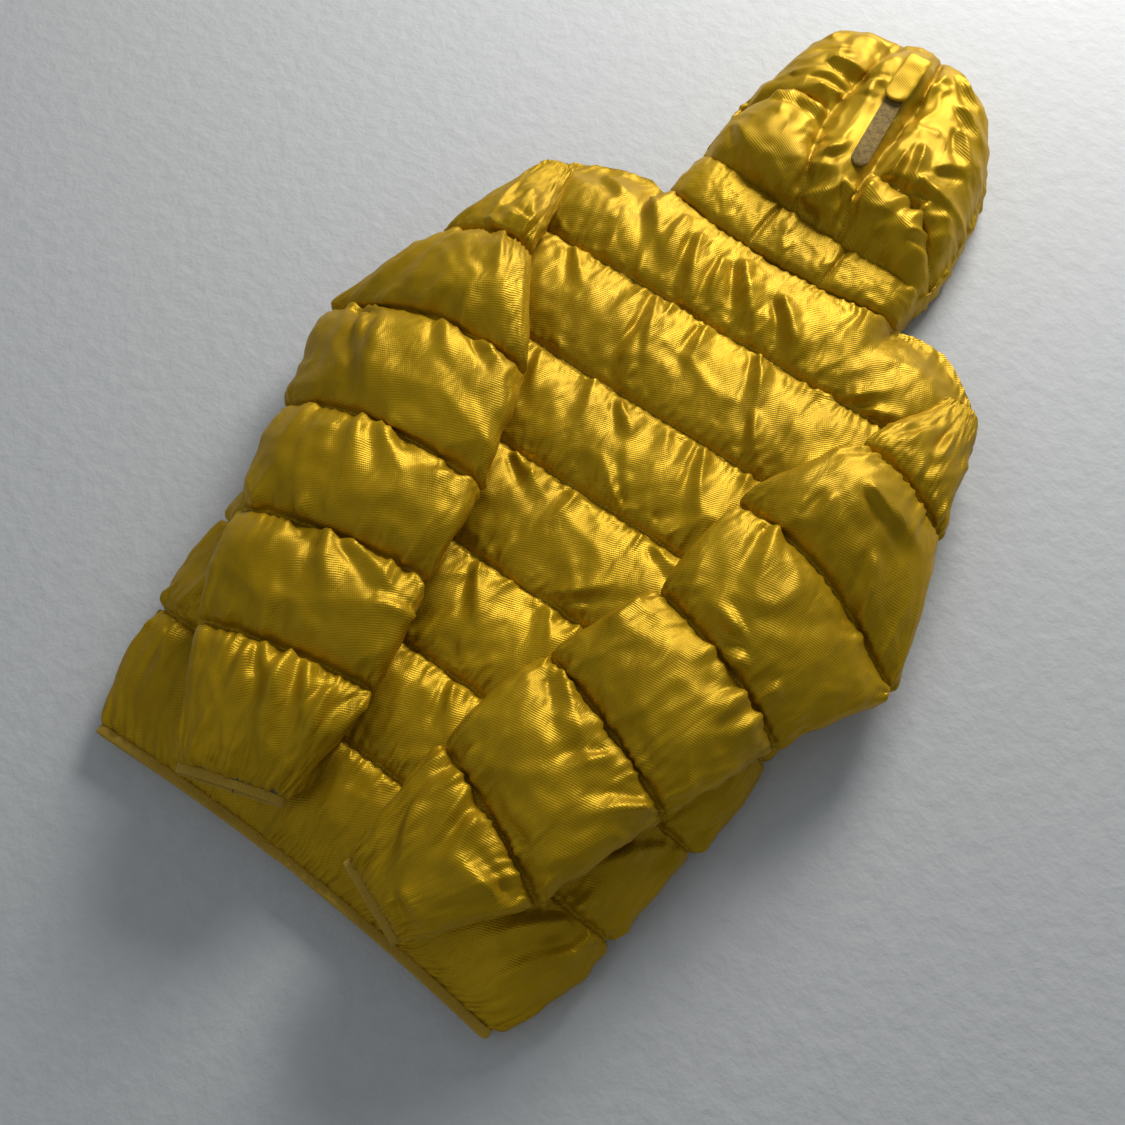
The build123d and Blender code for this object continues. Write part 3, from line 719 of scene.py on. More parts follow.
RIGHT_FOLDS = ((204, 4, 278, -4, 6, 10), (188, -20, 186, -70, -5, 10), (242, -40, 290, -118, 6, 13),
               (164, -62, 194, -152, 7, 13), (222, 108, 210, 60, 6, 9), (236, 116, 240, 60, -5, 8),
               (152, -70, 190, -40, 5, 9), (196, -166, 148, -156, 5, 9), (212, -182, 160, -194, 7, 12),
               (240, -180, 200, -240, -7, 12), (112, -186, 106, -236, 5, 9), (240, -200, 236, -250, 6, 10),
               (92, -270, 160, -316, 6, 14), (202, -300, 142, -282, -6, 12), (212, -318, 166, -374, 7, 12),
               (168, -306, 138, -352, 6, 10), (80, -360, 84, -412, 6, 10), (160, -404, 102, -396, -5, 10),
               (166, -440, 100, -442, 7, 12), (110, -402, 118, -450, -6, 9), (98, -476, 142, -484, 6, 10),
               (70, -420, 96, -470, 6, 9))

SLEEVE_COLUMNS = 84
SEAM_THICK, SWOLLEN_THICK = 0.026, 0.048
ROOT_Z, ROOT_THICK = 0.030, 0.026
DROOP = 0.034                     # how far a sleeve hangs where nothing is under it


def sleeve_rows(side, lines):
    """A sleeve's grid, shoulder to cuff: points, each row's share of its baffle, the baffle's depth."""
    rows, share, depth = [], [], []
    turn = np.arange(SLEEVE_COLUMNS) * 2 * math.pi / SLEEVE_COLUMNS
    across, up = powered(-np.sin(turn), 0.88), powered(-np.cos(turn), 0.80)
    for k, ((o0, i0, bow0), (o1, i1, bow1)) in enumerate(zip(lines[:-1], lines[1:])):
        o0, i0, o1, i1 = (np.array(p) for p in (o0, i0, o1, i1))
        length = np.hypot(*((o0 + i0) - (o1 + i1))) / 2
        steps = max(12, int(length / CELL))
        last = k == len(lines) - 2
        for i in range(steps + last):
            t = crowded(i, steps)
            swell = dome(t)
            outer, inner = o0 + (o1 - o0) * t, i0 + (i1 - i0) * t
            outward_way = (outer - inner) / np.hypot(*(outer - inner))
            outer, inner = outer + outward_way * 0.004 * swell, inner - outward_way * 0.005 * swell
            low, high = (outer, inner) if side == LEFT else (inner, outer)
            middle, reach = (low + high) / 2, (high - low) / 2
            root = smooth(1 - (k + t) / 1.3)
            cuff = smooth((k + t - 5.0) / 1.0)
            thick = (SEAM_THICK + (SWOLLEN_THICK - SEAM_THICK) * swell) * (1 - 0.35 * cuff)
            thick = thick * (1 - root) + ROOT_THICK * root
            base = SLEEVE_REST - 0.001 - 0.002 * (1 - swell)
            base = base * (1 - root) + ROOT_Z * root
            x = middle[0] + reach[0] * across
            y = middle[1] + reach[1] * across + (bow0 + (bow1 - bow0) * t) * (1 - across ** 2)
            droop = DROOP * smooth((np.abs(x) - body_half(y, side) + 0.065) / 0.120) * (1 - root)
            z = base + thick / 2 + up * thick / 2 - droop
            rows.append(np.stack([x, y, z], 1))
            share.append(t)
            depth.append(length)
    return np.array(rows), np.array(share), np.array(depth)


def make_sleeve(name, side, lines, shell, seed):
    """A sleeve: its piece, its settled grid, and which of the grid's rows are sewn."""
    rows, share, depth = sleeve_rows(side, lines)
    count = len(rows)
    points = rows.reshape(-1, 3)
    seam_rows = seam_rows_of(share)
    pinned = np.repeat(seam_rows, SLEEVE_COLUMNS)
    faces = grid_faces(numbered(count, SLEEVE_COLUMNS), closed=True)
    shaken = points + np.random.default_rng(seed).normal(0, SHAKE, points.shape) * ~pinned[:, None]
    cut = points * (1.05, 1.045, 1.06)
    cut[:, 0] += 0.0045 * noise(points[:, 0] / 0.055, points[:, 1] / 0.055, seed + 1)
    cut[:, 1] += 0.0045 * noise(points[:, 0] / 0.055, points[:, 1] / 0.055, seed + 2)
    done = settled(shaken, faces, pinned, cut, pressure=4.5, bending=0.45)
    done[:, 2] = np.maximum(done[:, 2], 0.004)
    reach = travelled(rows[40])
    travel = travelled(rows.mean(1))
    near = np.minimum(share, 1 - share) * depth
    fields = {"u": np.tile(reach, count), "v": np.repeat(travel, SLEEVE_COLUMNS),
              "gap": np.repeat(near, SLEEVE_COLUMNS),
              "side": np.repeat(np.where(share < 0.5, 1.0, -1.0), SLEEVE_COLUMNS),
              "hem": np.repeat(travel[-1] - travel + 0.002, SLEEVE_COLUMNS)}
    last = SLEEVE_COLUMNS - 1         # quads that close the sleeve's root
    closing = [(i, i + 1, last - i - 1, last - i) for i in range(SLEEVE_COLUMNS // 2 - 1)]
    sleeve, carried = refined(name + "_quilting", done, np.concatenate([faces, closing]), shell, fields)
    dress(sleeve, carried, seed + 40, 0.0052, 0.0024, hem_reach=0.026, seams=travel[seam_rows][1:],
          lines=LEFT_FOLDS if side == LEFT else RIGHT_FOLDS)
    return sleeve, done.reshape(count, SLEEVE_COLUMNS, 3), seam_rows


# ---------------------------------------------------------------- collar
COLLAR_HALVES = (0.127, 0.136)    # left, right
COLLAR_SEAM_Z, COLLAR_SIDE = 0.047, 0.036
COLLAR_TOP_V = NECK_HIGH_Y + 1    # v of its top seam: cloth coordinates are x and y plus 1


def make_collar(shell):
    """The collar: its piece, its settled grid, and the columns of its upright quilting lines."""
    steps, cell_rows = 14, []
    for i in range(steps + 1):
        t = i / steps
        swell = dome(t)
        ring = open_ring(COLLAR_HALVES[1] + 0.003 * swell, COLLAR_HALVES[0] + 0.003 * swell,
                         COLLAR_SEAM_Z + 0.008 * swell, 0.005 - 0.004 * swell, COLLAR_SIDE, EDGE_Z, 60)
        x = ring[:, 0]
        low, high = along(TOP_EDGE, x) - 0.004, along(COLLAR_EDGE, x) + 0.003
        z = ring[:, 1] - 0.0045 * smooth(1 - t / 0.08) * (ring[:, 1] > EDGE_Z)
        cell_rows.append(np.stack([x, low + (high - low) * t, z], 1))
    rows = np.array(cell_rows)
    count, wide, _ = rows.shape
    points = rows.reshape(-1, 3)
    upright = np.zeros((count, wide), bool)
    for line in COLLAR_LINES:
        top_side = rows[0, :, 2] > EDGE_Z + 0.01
        column = np.argmin(np.abs(rows[0, :, 0] - line) + (~top_side) * 9)
        upright[:, column] = True
    pinned = upright.copy()
    pinned[[0, -1]] = True
    pinned[:, :3] = pinned[:, -3:] = True
    shaken = points.copy()
    shaken[upright.ravel(), 2] = COLLAR_SEAM_Z + 0.004
    faces = grid_faces(numbered(count, wide))
    shaken += np.random.default_rng(8).normal(0, 0.0005, points.shape) * ~pinned.reshape(-1, 1)
    done = settled(shaken, faces, pinned.ravel(), points * (1.05, 1.04, 1.05), pressure=4.0, bending=0.3)
    share = np.linspace(0, 1, count)
    depth = NECK_HIGH_Y - NECK_LOW_Y
    near = np.minimum(share, 1 - share) * depth
    columns = np.arange(wide)
    cell = np.linalg.norm(rows[0, 45] - rows[0, 44])
    beside = np.min([np.abs(columns - c) * cell for c in np.flatnonzero(upright[1])], 0)
    gap = np.minimum(near[:, None], beside[None, :])
    reach = travelled(rows[7])
    fields = {"u": np.tile(reach, count), "v": points[:, 1] + 1, "gap": gap.ravel(),
              "side": np.repeat(np.where(share < 0.5, 1.0, -1.0), wide), "hem": np.full(count * wide, 1.0)}
    collar, carried = refined("collar_quilting", done, faces, shell, fields)
    dress(collar, carried, 57, 0.0034, 0.0010, seams=(points[:, 1].min() + 1.01, COLLAR_TOP_V),
          tallest=0.0025)
    return collar, done.reshape(count, wide, 3), np.flatnonzero(upright[1])


# ---------------------------------------------------------------- hood
HOOD_MIDDLE_X, HOOD_HALF_WIDTH, HOOD_LEAN = 0.008, 0.134, -0.022
HOOD_SQUARE = 2.7                 # 2 is an ellipse, more is squarer
HOOD_EDGE_Z, HOOD_DOME_Z = 0.034, 0.086
HOOD_COLUMNS, HOOD_ROWS, HOOD_WRAP = 75, 66, 22
FACE_HALF, FACE_TOP_Y = 0.048, 0.468
FACE_MIDDLE_Y = 0.36
HOOD_SMOOTHING = 5
TAB_ROOT_Z = 0.0880               # the hood's surface under the tab's sewn end, just below the tab's hinge
TAB_START, TAB_END, TAB_HALF = (0.0055, 0.4505), (0.0070, 0.3925), 0.0125
STRIP_START, STRIP_END, STRIP_HALF = (0.0045, 0.4220), (0.0195, 0.3080), 0.0090


def hood_place(u, v):
    """A place of the hood's upper side in plan, for u from -1 left to 1 right, v from 0 neck to 1 crown."""
    unit_x, unit_y = u * np.sqrt(1 - v * v / 2), v * np.sqrt(1 - u * u / 2)
    reach = np.hypot(unit_x, unit_y)
    angle = np.arctan2(unit_y, unit_x)
    round_sum = np.abs(np.cos(angle)) ** HOOD_SQUARE + np.abs(np.sin(angle)) ** HOOD_SQUARE
    squared = round_sum ** (-1 / HOOD_SQUARE)
    pull = 1 + (squared - 1) * reach ** 2
    unit_x, unit_y = unit_x * pull, unit_y * pull
    neck = 1 - 0.055 * np.exp(-unit_y / 0.05)
    x = HOOD_MIDDLE_X + HOOD_HALF_WIDTH * unit_x * neck + HOOD_LEAN * unit_y ** 2
    low = along(COLLAR_EDGE, x) - 0.006
    y = low + (HOOD_HIGH_Y + 0.001 - low) * unit_y
    return x, y, reach


def hood_height(y, reach, x):
    """Height of the hood's upper side at a place."""
    lifted = HOOD_EDGE_Z + (HOOD_DOME_Z - HOOD_EDGE_Z) * np.sqrt(np.clip(1 - reach ** 3.4, 0, 1))
    low = along(COLLAR_EDGE, x) - 0.002
    rise = np.sqrt(1 - (1 - np.clip((y - low) / 0.045, 0, 1)) ** 2)
    seam = np.minimum(lifted, COLLAR_SEAM_Z)
    return seam + (lifted - seam) * rise


def hood_grid():
    """The hood's upper side and the edge that wraps under it: points, faces, point numbers of both parts."""
    u = np.linspace(1, -1, HOOD_COLUMNS)
    v = np.linspace(0, 1, HOOD_ROWS)
    uu, vv = np.meshgrid(u, v)
    x, y, reach = hood_place(uu, vv)
    top = np.stack([x, y, hood_height(y, reach, x)], -1)
    upper = numbered(HOOD_ROWS, HOOD_COLUMNS)
    border = np.concatenate([upper[:, 0], upper[-1, 1:-1], upper[::-1, -1]])
    edge = top.reshape(-1, 3)[border]
    wrap = [edge]
    for e in range(1, HOOD_WRAP):
        drop = min(e / 7, 1)
        inward = max(0.0, (e - 5) / (HOOD_WRAP - 6))
        swell = math.sin(math.pi * min(e / 9, 1)) * 0.006
        away = edge[:, :2] - (HOOD_MIDDLE_X, FACE_MIDDLE_Y)
        away = away / np.linalg.norm(away, axis=1)[:, None]
        inner_x = HOOD_MIDDLE_X + (edge[:, 0] - HOOD_MIDDLE_X) * FACE_HALF / HOOD_HALF_WIDTH
        inner_y = (edge[:, 1] - HOOD_LOW_Y) * (FACE_TOP_Y - HOOD_LOW_Y) / (HOOD_HIGH_Y - HOOD_LOW_Y)
        inner_y = HOOD_LOW_Y + inner_y
        here = edge[:, :2] * (1 - inward) + np.stack([inner_x, inner_y], 1) * inward + away * swell
        z = edge[:, 2] * (1 - smooth(drop)) + (0.002 + 0.004 * inward) * smooth(drop)
        wrap.append(np.column_stack([here, z]))
    wrap = np.array(wrap).transpose(1, 0, 2)
    below = numbered(len(border), HOOD_WRAP - 1, upper.size)
    strip = np.concatenate([border[:, None], below], 1)
    points = np.concatenate([top.reshape(-1, 3), wrap[:, 1:].reshape(-1, 3)])
    faces = np.concatenate([grid_faces(upper), grid_faces(strip, flipped=True)])
    return points, faces, upper, strip, uu, vv


# hood seams in the upper side's u and v: centre panel's two sides and the two cross seams
HOOD_SEAMS = (((-0.10, 0.00), (-0.26, 0.22), (-0.34, 0.45), (-0.26, 0.72), (-0.22, 0.97)),
              ((0.30, 0.00), (0.17, 0.16), (0.20, 0.42), (0.26, 0.70), (0.24, 0.97)),
              ((-1.00, 0.42), (-0.70, 0.46), (-0.33, 0.42)),
              ((0.19, 0.27), (0.50, 0.30), (0.78, 0.22), (1.00, 0.10)))


def line_points(table, pitch):
    """Points along a given line, rounded at its corners."""
    path = np.array(table, float)
    for _ in range(3):
        left, right = path[:-1] * 0.75 + path[1:] * 0.25, path[:-1] * 0.25 + path[1:] * 0.75
        middle = np.stack([left, right], 1).reshape(-1, path.shape[1])
        path = np.concatenate([path[:1], middle, path[-1:]])
    reach = travelled(path)
    return at_stations(path, reach, np.linspace(0, reach[-1], int(reach[-1] / pitch) + 2))


# large folds of the hood's upper side, in mm as on the back
HOOD_FOLDS = ((50, 350, 58, 286, 8, 9), (-72, 352, -24, 354, 6, 10), (-74, 412, -22, 434, 8, 12),
              (-98, 346, -46, 372, -6, 12), (18, 338, 42, 262, 7, 9), (58, 368, 74, 300, -7, 10),
              (43, 300, 56, 256, 7, 7), (20, 290, 50, 256, -6, 7), (-6, 262, 36, 262, 5, 8),
              (96, 318, 92, 262, 7, 10), (76, 414, 124, 370, 7, 12), (60, 440, 112, 410, -6, 10),
              (94, 272, 130, 310, 6, 10), (76, 330, 130, 330, 6, 11), (-60, 440, -98, 400, 6, 11),
              (-30, 480, -80, 470, -5, 10), (-12, 300, 6, 340, 6, 8), (-110, 300, -66, 270, 4, 10),
              (80, 350, 110, 385, -5, 9), (40, 480, 86, 455, 6, 9), (-34, 386, -90, 366, 6, 10),
              (0, 420, -30, 395, 5, 8))


def seam_nodes(uu, vv):
    """Which points of the upper side the seams run through, and every point's distance from them."""
    held = np.zeros(uu.shape, bool)
    away = np.full(uu.shape, 1.0)
    scale = np.array([HOOD_HALF_WIDTH, HOOD_HIGH_Y - HOOD_LOW_Y])
    for table in HOOD_SEAMS:
        path = line_points(table, 0.012)
        for pu, pv in path:
            far = np.hypot((uu - pu) * scale[0], (vv - pv) * scale[1])
            away = np.minimum(away, far)
            held[np.unravel_index(np.argmin(far), far.shape)] = True
    return held, away


def make_hood(shell):
    """The hood: its piece, its settled points and the point numbers of the edge that wraps under it."""
    points, faces, upper, strip, uu, vv = hood_grid()
    held, away = seam_nodes(uu, vv)
    pinned = np.zeros(len(points), bool)
    pinned[upper[held]] = True
    pinned[upper[0]] = True
    pinned[strip[:, -1]] = True
    pinned[strip[0]] = pinned[strip[-1]] = True
    start = points.copy()
    groove = 0.016 * np.exp(-away / 0.010) * smooth(vv / 0.06) * smooth((1.02 - vv) / 0.15)
    start[upper.ravel(), 2] -= groove.ravel()
    lumps = np.random.default_rng(3).normal(0, 0.0012, points.shape)
    start += lumps * ~pinned[:, None]
    cut = points * (1.13, 1.12, 1.12)
    done = settled(start, faces, pinned, cut, pressure=3.2, bending=0.05)
    loose = ~pinned[upper[1:-1, 1:-1]][:, :, None]
    for _ in range(HOOD_SMOOTHING):
        grid = done[upper]
        around = (grid[:-2, 1:-1] + grid[2:, 1:-1] + grid[1:-1, :-2] + grid[1:-1, 2:]) / 4
        done[upper[1:-1, 1:-1]] += (around - grid[1:-1, 1:-1]) * 0.6 * loose
    grid = done[upper]
    from_tab = np.hypot(grid[:, :, 0] - TAB_START[0], grid[:, :, 1] - TAB_START[1])
    missing = TAB_ROOT_Z - grid[:, :, 2][from_tab < 0.010].mean()
    done[upper, 2] += missing * np.exp(-(from_tab / 0.034) ** 2)
    gap = np.full(len(points), 0.03)
    gap[upper.ravel()] = np.minimum(away, vv * 0.25).ravel()
    flat = points[:, :2].copy()
    cells = np.arange(HOOD_WRAP) * CELL
    out = points[strip[:, 0], :2] - (HOOD_MIDDLE_X, FACE_MIDDLE_Y)
    out = out / np.linalg.norm(out, axis=1)[:, None]
    spread = points[strip[:, 0], None, :2] + out[:, None, :] * cells[None, :, None]
    flat[strip.ravel()] = spread.reshape(-1, 2)
    fields = {"u": flat[:, 0] + 1, "v": flat[:, 1] + 1, "gap": gap, "side": np.ones(len(points)),
              "hem": np.full(len(points), 1.0)}
    hood, carried = refined("hood_quilting", done, faces, shell, fields)
    co, normal = points_of(hood.data), normals_of(hood.data)
    calm = smooth((np.hypot(co[:, 0] + 0.085, co[:, 1] - 0.305) - 0.035) / 0.045)
    calm *= smooth((np.hypot(co[:, 0] - 0.115, co[:, 1] - 0.385) - 0.030) / 0.045)
    rough = 0.0040 * (0.3 + 0.7 * calm) * crumple(carried["u"], carried["v"], 90, 0.062)
    rough *= smooth(carried["gap"] / 0.006)
    rough *= smooth((co[:, 2] - 0.02) / 0.03)
    strip_from, run = np.array(STRIP_START), np.array(STRIP_END) - STRIP_START
    along_strip = np.clip(((co[:, :2] - strip_from) @ run) / (run @ run), -0.35, 1.0)
    beside = np.linalg.norm(co[:, :2] - strip_from - along_strip[:, None] * run, axis=1)
    loose = 0.12 + 0.88 * smooth((beside - 0.010) / 0.014)
    rough *= loose
    reshape(hood, co + normal * rough[:, None])
    dress(hood, carried, 77, 0.0044, 0.0008, seams=HOOD_LOW_Y + 1 + np.arange(4) * 0.065, tallest=0.0042,
          lines=HOOD_FOLDS, loose=loose)
    return hood, done, strip


# ---------------------------------------------------------------- linings and pocket bags
def tube_piece(name, rows, material, seed, wrinkle=0.0012):
    """A tube of thin cloth with loose wrinkles, its long edges meeting at its seam."""
    rows = np.concatenate([rows, rows[:, :1]], 1)
    count, around, _ = rows.shape
    reach = travelled(rows[count // 2])
    travel = travelled(rows.mean(1))
    uv = np.stack([np.tile(reach, count), np.repeat(travel, around)], 1)
    points = rows.reshape(-1, 3).copy()
    points[:, 2] += wrinkle * noise(uv[:, 0] / 0.03, uv[:, 1] / 0.06, seed)
    points = points.reshape(count, around, 3)
    points[:, -1] = points[:, 0]
    return piece(name, points.reshape(-1, 3), grid_faces(numbered(count, around)), material, uv)


LINING_TOP_Y, LINING_RANGE = 0.194, 0.190 - BAFFLE_Y[0]


def make_torso_lining():
    """The linings of back and fronts, one flat tube inside the shell, above the zip's slider."""
    around, rows = 90, []
    turn = np.arange(around) * 2 * math.pi / around
    across, up = powered(np.cos(turn), 0.6), powered(np.sin(turn), 0.6)
    for t in np.linspace(0, 1, 56):
        level = BAFFLE_Y[0] + 0.004 + LINING_RANGE * t
        inset = 0.012 + 0.030 * smooth(t / 0.1)
        right, left = body_half(level, RIGHT) - inset, body_half(level, LEFT) - inset
        x = (right - left) / 2 + (right + left) / 2 * across
        shoulder = smooth((np.abs(x) - 0.090) / 0.040)
        end = np.minimum(LINING_TOP_Y, along(TOP_EDGE, x) - 0.014 - 0.034 * shoulder)
        y = level - (LINING_TOP_Y - end) * smooth((t - 0.6) / 0.4)
        over_zip = (1 - smooth((np.abs(x) - 0.045) / 0.030)) * smooth(t / 0.045)
        middle = 0.012 + 0.0175 * np.maximum(smooth(t / 0.12), over_zip) - 0.005 * smooth((t - 0.84) / 0.10)
        rows.append(np.stack([x, y, middle + 0.0042 * up], 1))
    return tube_piece("torso_lining", np.array(rows), lining, 201)


def make_sleeve_lining(name, grid):
    """A sleeve's lining: the sleeve's own rings, drawn in, out to the cuff."""
    rings = np.concatenate([grid[8:-1:3], grid[-1:]])[:, ::2]
    columns = rings.shape[1]
    across_from = (columns // 2 - np.arange(columns)) % columns
    core = (rings + rings[:, across_from]) / 2
    draw_in = smooth(np.linspace(1, 0, len(rings))[:, None, None] / 0.15)
    rows = core + (rings - core) * (0.80 - 0.45 * draw_in)
    middle = rows.mean(1, keepdims=True)
    rows[:, :, :2] = (middle + (rows - middle) * (0.94 - 0.14 * draw_in))[:, :, :2]
    return tube_piece(name, rows, lining, 211, 0.0006)


def make_hood_lining():
    """The hood's lining: one sheet that follows the upper side from inside."""
    u, v = np.meshgrid(np.linspace(0.93, -0.93, 50), np.linspace(0.02, 0.93, 44))
    x, y, reach = hood_place(u, v)
    z = hood_height(y, reach, x) - 0.018 + 0.0015 * noise(x / 0.03, y / 0.03, 221)
    points = np.stack([x, y, z], -1).reshape(-1, 3)
    return piece("hood_lining_sheet", points, grid_faces(numbered(*u.shape)), lining, points[:, :2] + 1)


def make_pocket_bag(side_name):
    """A flat pocket bag between the front's down and its lining."""
    low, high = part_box(f"{side_name}_pocket_bag")
    count = 60
    x, z = (low.x + high.x) / 2, (low.z + high.z) / 2
    path = np.array([(x, y, z) for y in np.linspace(low.y, high.y, count)])
    across, up = np.tile((1.0, 0, 0), (count, 1)), np.tile((0, 0, 1.0), (count, 1))
    return band(f"{side_name}_pocket_bag_cloth", path, across, up, lining, high.x - low.x, 0.0010, False,
                ribs=0.05)


# ---------------------------------------------------------------- bindings
def tangents(path, closed):
    """The unit direction of a path at each of its points."""
    if closed:
        run = np.roll(path, -1, 0) - np.roll(path, 1, 0)
    else:
        run = np.gradient(path, axis=0)
    return run / np.maximum(np.linalg.norm(run, axis=1), 1e-9)[:, None]


def bound(name, path, width_way, shift, closed):
    """An elastic binding over a cut edge; shift is how far its middle lies along width_way from the edge."""
    path = resampled(path, 0.0018, closed)
    width_way = np.broadcast_to(width_way, path.shape) if np.ndim(width_way) == 1 else width_way(path)
    run = tangents(path, closed)
    width_way = width_way - run * (width_way * run).sum(1)[:, None]
    width_way = width_way / np.linalg.norm(width_way, axis=1)[:, None]
    face_way = np.cross(run, width_way)
    middle = path + width_way * shift
    made = band(name, middle, width_way, face_way, elastic, BINDING_WIDTH, BINDING_THICK, closed)
    return made


def towards_face(path):
    """From the hood's edge towards the middle of the face opening."""
    way = np.array([HOOD_MIDDLE_X, FACE_MIDDLE_Y, 0]) - path
    way[:, 2] = 0
    return way / np.linalg.norm(way, axis=1)[:, None]


# ---------------------------------------------------------------- hood tab and loop strip
def lying(tree, name, start, end, half, thick, lift, material, seed, rounded=(False, True), wrinkle=0.0004):
    """A flat strip with rounded ends that lies on the hood from start to end."""
    start, end = np.array(start), np.array(end)
    length = np.hypot(*(end - start))
    way = (end - start) / length
    side = np.array((-way[1], way[0]))
    stations = np.linspace(0, 1, int(length / 0.0014)) * length
    turn = np.arange(28) * 2 * math.pi / 28
    across, up = powered(np.cos(turn), 0.55), powered(np.sin(turn), 0.8)
    spans = []
    for s in stations:
        near_end = min(s / half if rounded[0] else 1, (length - s) / half if rounded[1] else 1, 1)
        spans.append(max(math.sqrt(1 - (1 - near_end) ** 2), 0.06))
    shares = (-0.9, -0.45, 0, 0.45, 0.9)
    ground = np.array([[surface_z(tree, *(start + way * s + side * half * span * q)) for q in shares]
                       for s, span in zip(stations, spans)])
    level = np.max(ground, 1) * 0.5 + np.mean(ground, 1) * 0.5
    kernel = np.hanning(9) / np.hanning(9).sum()
    level = np.convolve(np.pad(level, 4, mode="edge"), kernel, "valid")
    rows = []
    for s, span, z in zip(stations, spans, level):
        place = start + way * s + side * (half * span * across)[:, None]
        lumps = wrinkle * noise(place[:, 0] / 0.006, place[:, 1] / 0.009, seed) * (up > 0)
        height = z + lift + thick / 2 + up * thick / 2 * min(1, span * 1.5) + lumps
        rows.append(np.column_stack([place, height]))
    rows = np.array(rows)
    count, ring = rows.shape[:2]
    index = numbered(count, ring)
    faces = [tuple(f) for f in grid_faces(index, closed=True)] + [tuple(index[0, ::-1]), tuple(index[-1])]
    points = rows.reshape(-1, 3)
    return outward(piece(name, points, faces, material, points[:, :2] + 1))


def surface_z(tree, x, y):
    """Height of a surface straight below a place."""
    place, _, _, _ = tree.ray_cast(Vector((x, y, 1.0)), Vector((0, 0, -1)))
    return place.z if place is not None else 0.0


# ---------------------------------------------------------------- build
shell = shell_fabric()
lining = lining_fabric()
elastic = elastic_band()
sewing = thread()

torso, torso_grid, torso_seams = make_torso(shell)
sleeves = {}
for number, (name, (side, lines)) in enumerate(SLEEVES.items()):
    sleeves[name] = make_sleeve(name, side, lines, shell, 120 + number * 7)
collar, collar_grid, collar_columns = make_collar(shell)
hood, hood_points, hood_edge = make_hood(shell)


# padded pieces
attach(torso, "torso")
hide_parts("back_shell", "back_down_fill", "left_front_shell", "left_front_down_fill",
            "right_front_shell", "right_front_down_fill", "side_seams", "shoulder_seams")
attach(collar, "torso")
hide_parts("collar_back_shell", "collar_back_down_fill", "left_collar_front", "right_collar_front",
            "collar_side_seams")
for name, (sleeve, _, _) in sleeves.items():
    side = name.split("_")[0]
    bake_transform(sleeve)
    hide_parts(f"{side}_sleeve_upper_shell", f"{side}_sleeve_upper_down_fill",
                f"{side}_sleeve_under", f"{side}_sleeve_seams")
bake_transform(hood)
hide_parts("hood_left_panel", "hood_centre_panel", "hood_right_panel", "hood_down_fill",
            "hood_side_seam", "left_hood_cheek", "right_hood_cheek", "hood_brim")

# linings, inside the padded pieces
torso_lining = make_torso_lining()
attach(torso_lining, "torso")
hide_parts("back_lining", "left_front_lining", "right_front_lining")
hood_lining = make_hood_lining()
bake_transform(hood_lining)
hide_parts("hood_lining")
for name, (_, grid, _) in sleeves.items():
    inner = make_sleeve_lining(f"{name}_lining_tube", grid)
    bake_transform(inner)
    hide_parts(f"{name}_lining")
for side_name in ("left", "right"):
    bag = make_pocket_bag(side_name)
    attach(bag, "torso")
    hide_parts(f"{side_name}_pocket_bag")

# elastic bindings of hem, cuffs and face opening
hem = bound("hem_binding_band", torso_grid[0, 3:-3], np.array((0.0, -1.0, 0.0)), 0.0018, False)
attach(hem, "torso")
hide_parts("hem_binding")
for name, (_, grid, _) in sleeves.items():
    side_name = name.split("_")[0]
    axis = grid[-1].mean(0) - grid[-12].mean(0)
    cuff = bound(f"{side_name}_cuff_band", grid[-1], axis / np.linalg.norm(axis), 0.0005, True)
    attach(cuff, name)
    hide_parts(f"{side_name}_cuff_binding")
face_edge = bound("hood_face_band", hood_points[hood_edge[:, -1]], towards_face, 0.0025, False)
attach(face_edge, "hood")
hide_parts("hood_edge_binding")

# tab and loop strip on the hood
hood_tree = tree_of(hood)
strip = lying(hood_tree, "hood_loop_strip_pile", STRIP_START, STRIP_END, STRIP_HALF, 0.0018, 0.0010,
              loop_pile(), 301, wrinkle=0.0003)
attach(strip, "hood")
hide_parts("hood_loop_strip")
tab = lying(hood_tree, "hood_tab_cloth", TAB_START, TAB_END, TAB_HALF, 0.0036, 0.0044,
            shell, 302, wrinkle=0.0006)
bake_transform(tab)
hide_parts("hood_tab")

# stitches along every sewn line
torso_stitches = stitches("torso_stitches", tree_of(torso), list(torso_grid[torso_seams][1:-1, 4:-4]), sewing)
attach(torso_stitches, "torso")
lines = [collar_grid[0, 4:-4], collar_grid[-1, 4:-4]] + [collar_grid[:, c] for c in collar_columns]
collar_stitches = stitches("collar_stitches", tree_of(collar), lines, sewing)
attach(collar_stitches, "torso")
for name, (sleeve, grid, seam_rows) in sleeves.items():
    rings = [np.concatenate([ring, ring[:1]]) for ring in grid[seam_rows][1:-1]]
    sewn = stitches(f"{name}_stitches", tree_of(sleeve), rings, sewing)
    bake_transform(sewn)
hood_lines = []
for table in HOOD_SEAMS:
    seam = line_points(table, 0.02)
    x, y, _ = hood_place(seam[:, 0], seam[:, 1])
    hood_lines.append(np.array([(a, b, surface_z(hood_tree, a, b)) for a, b in zip(x, y)]))
hood_stitches = stitches("hood_stitches", hood_tree, hood_lines, sewing)
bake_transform(hood_stitches)

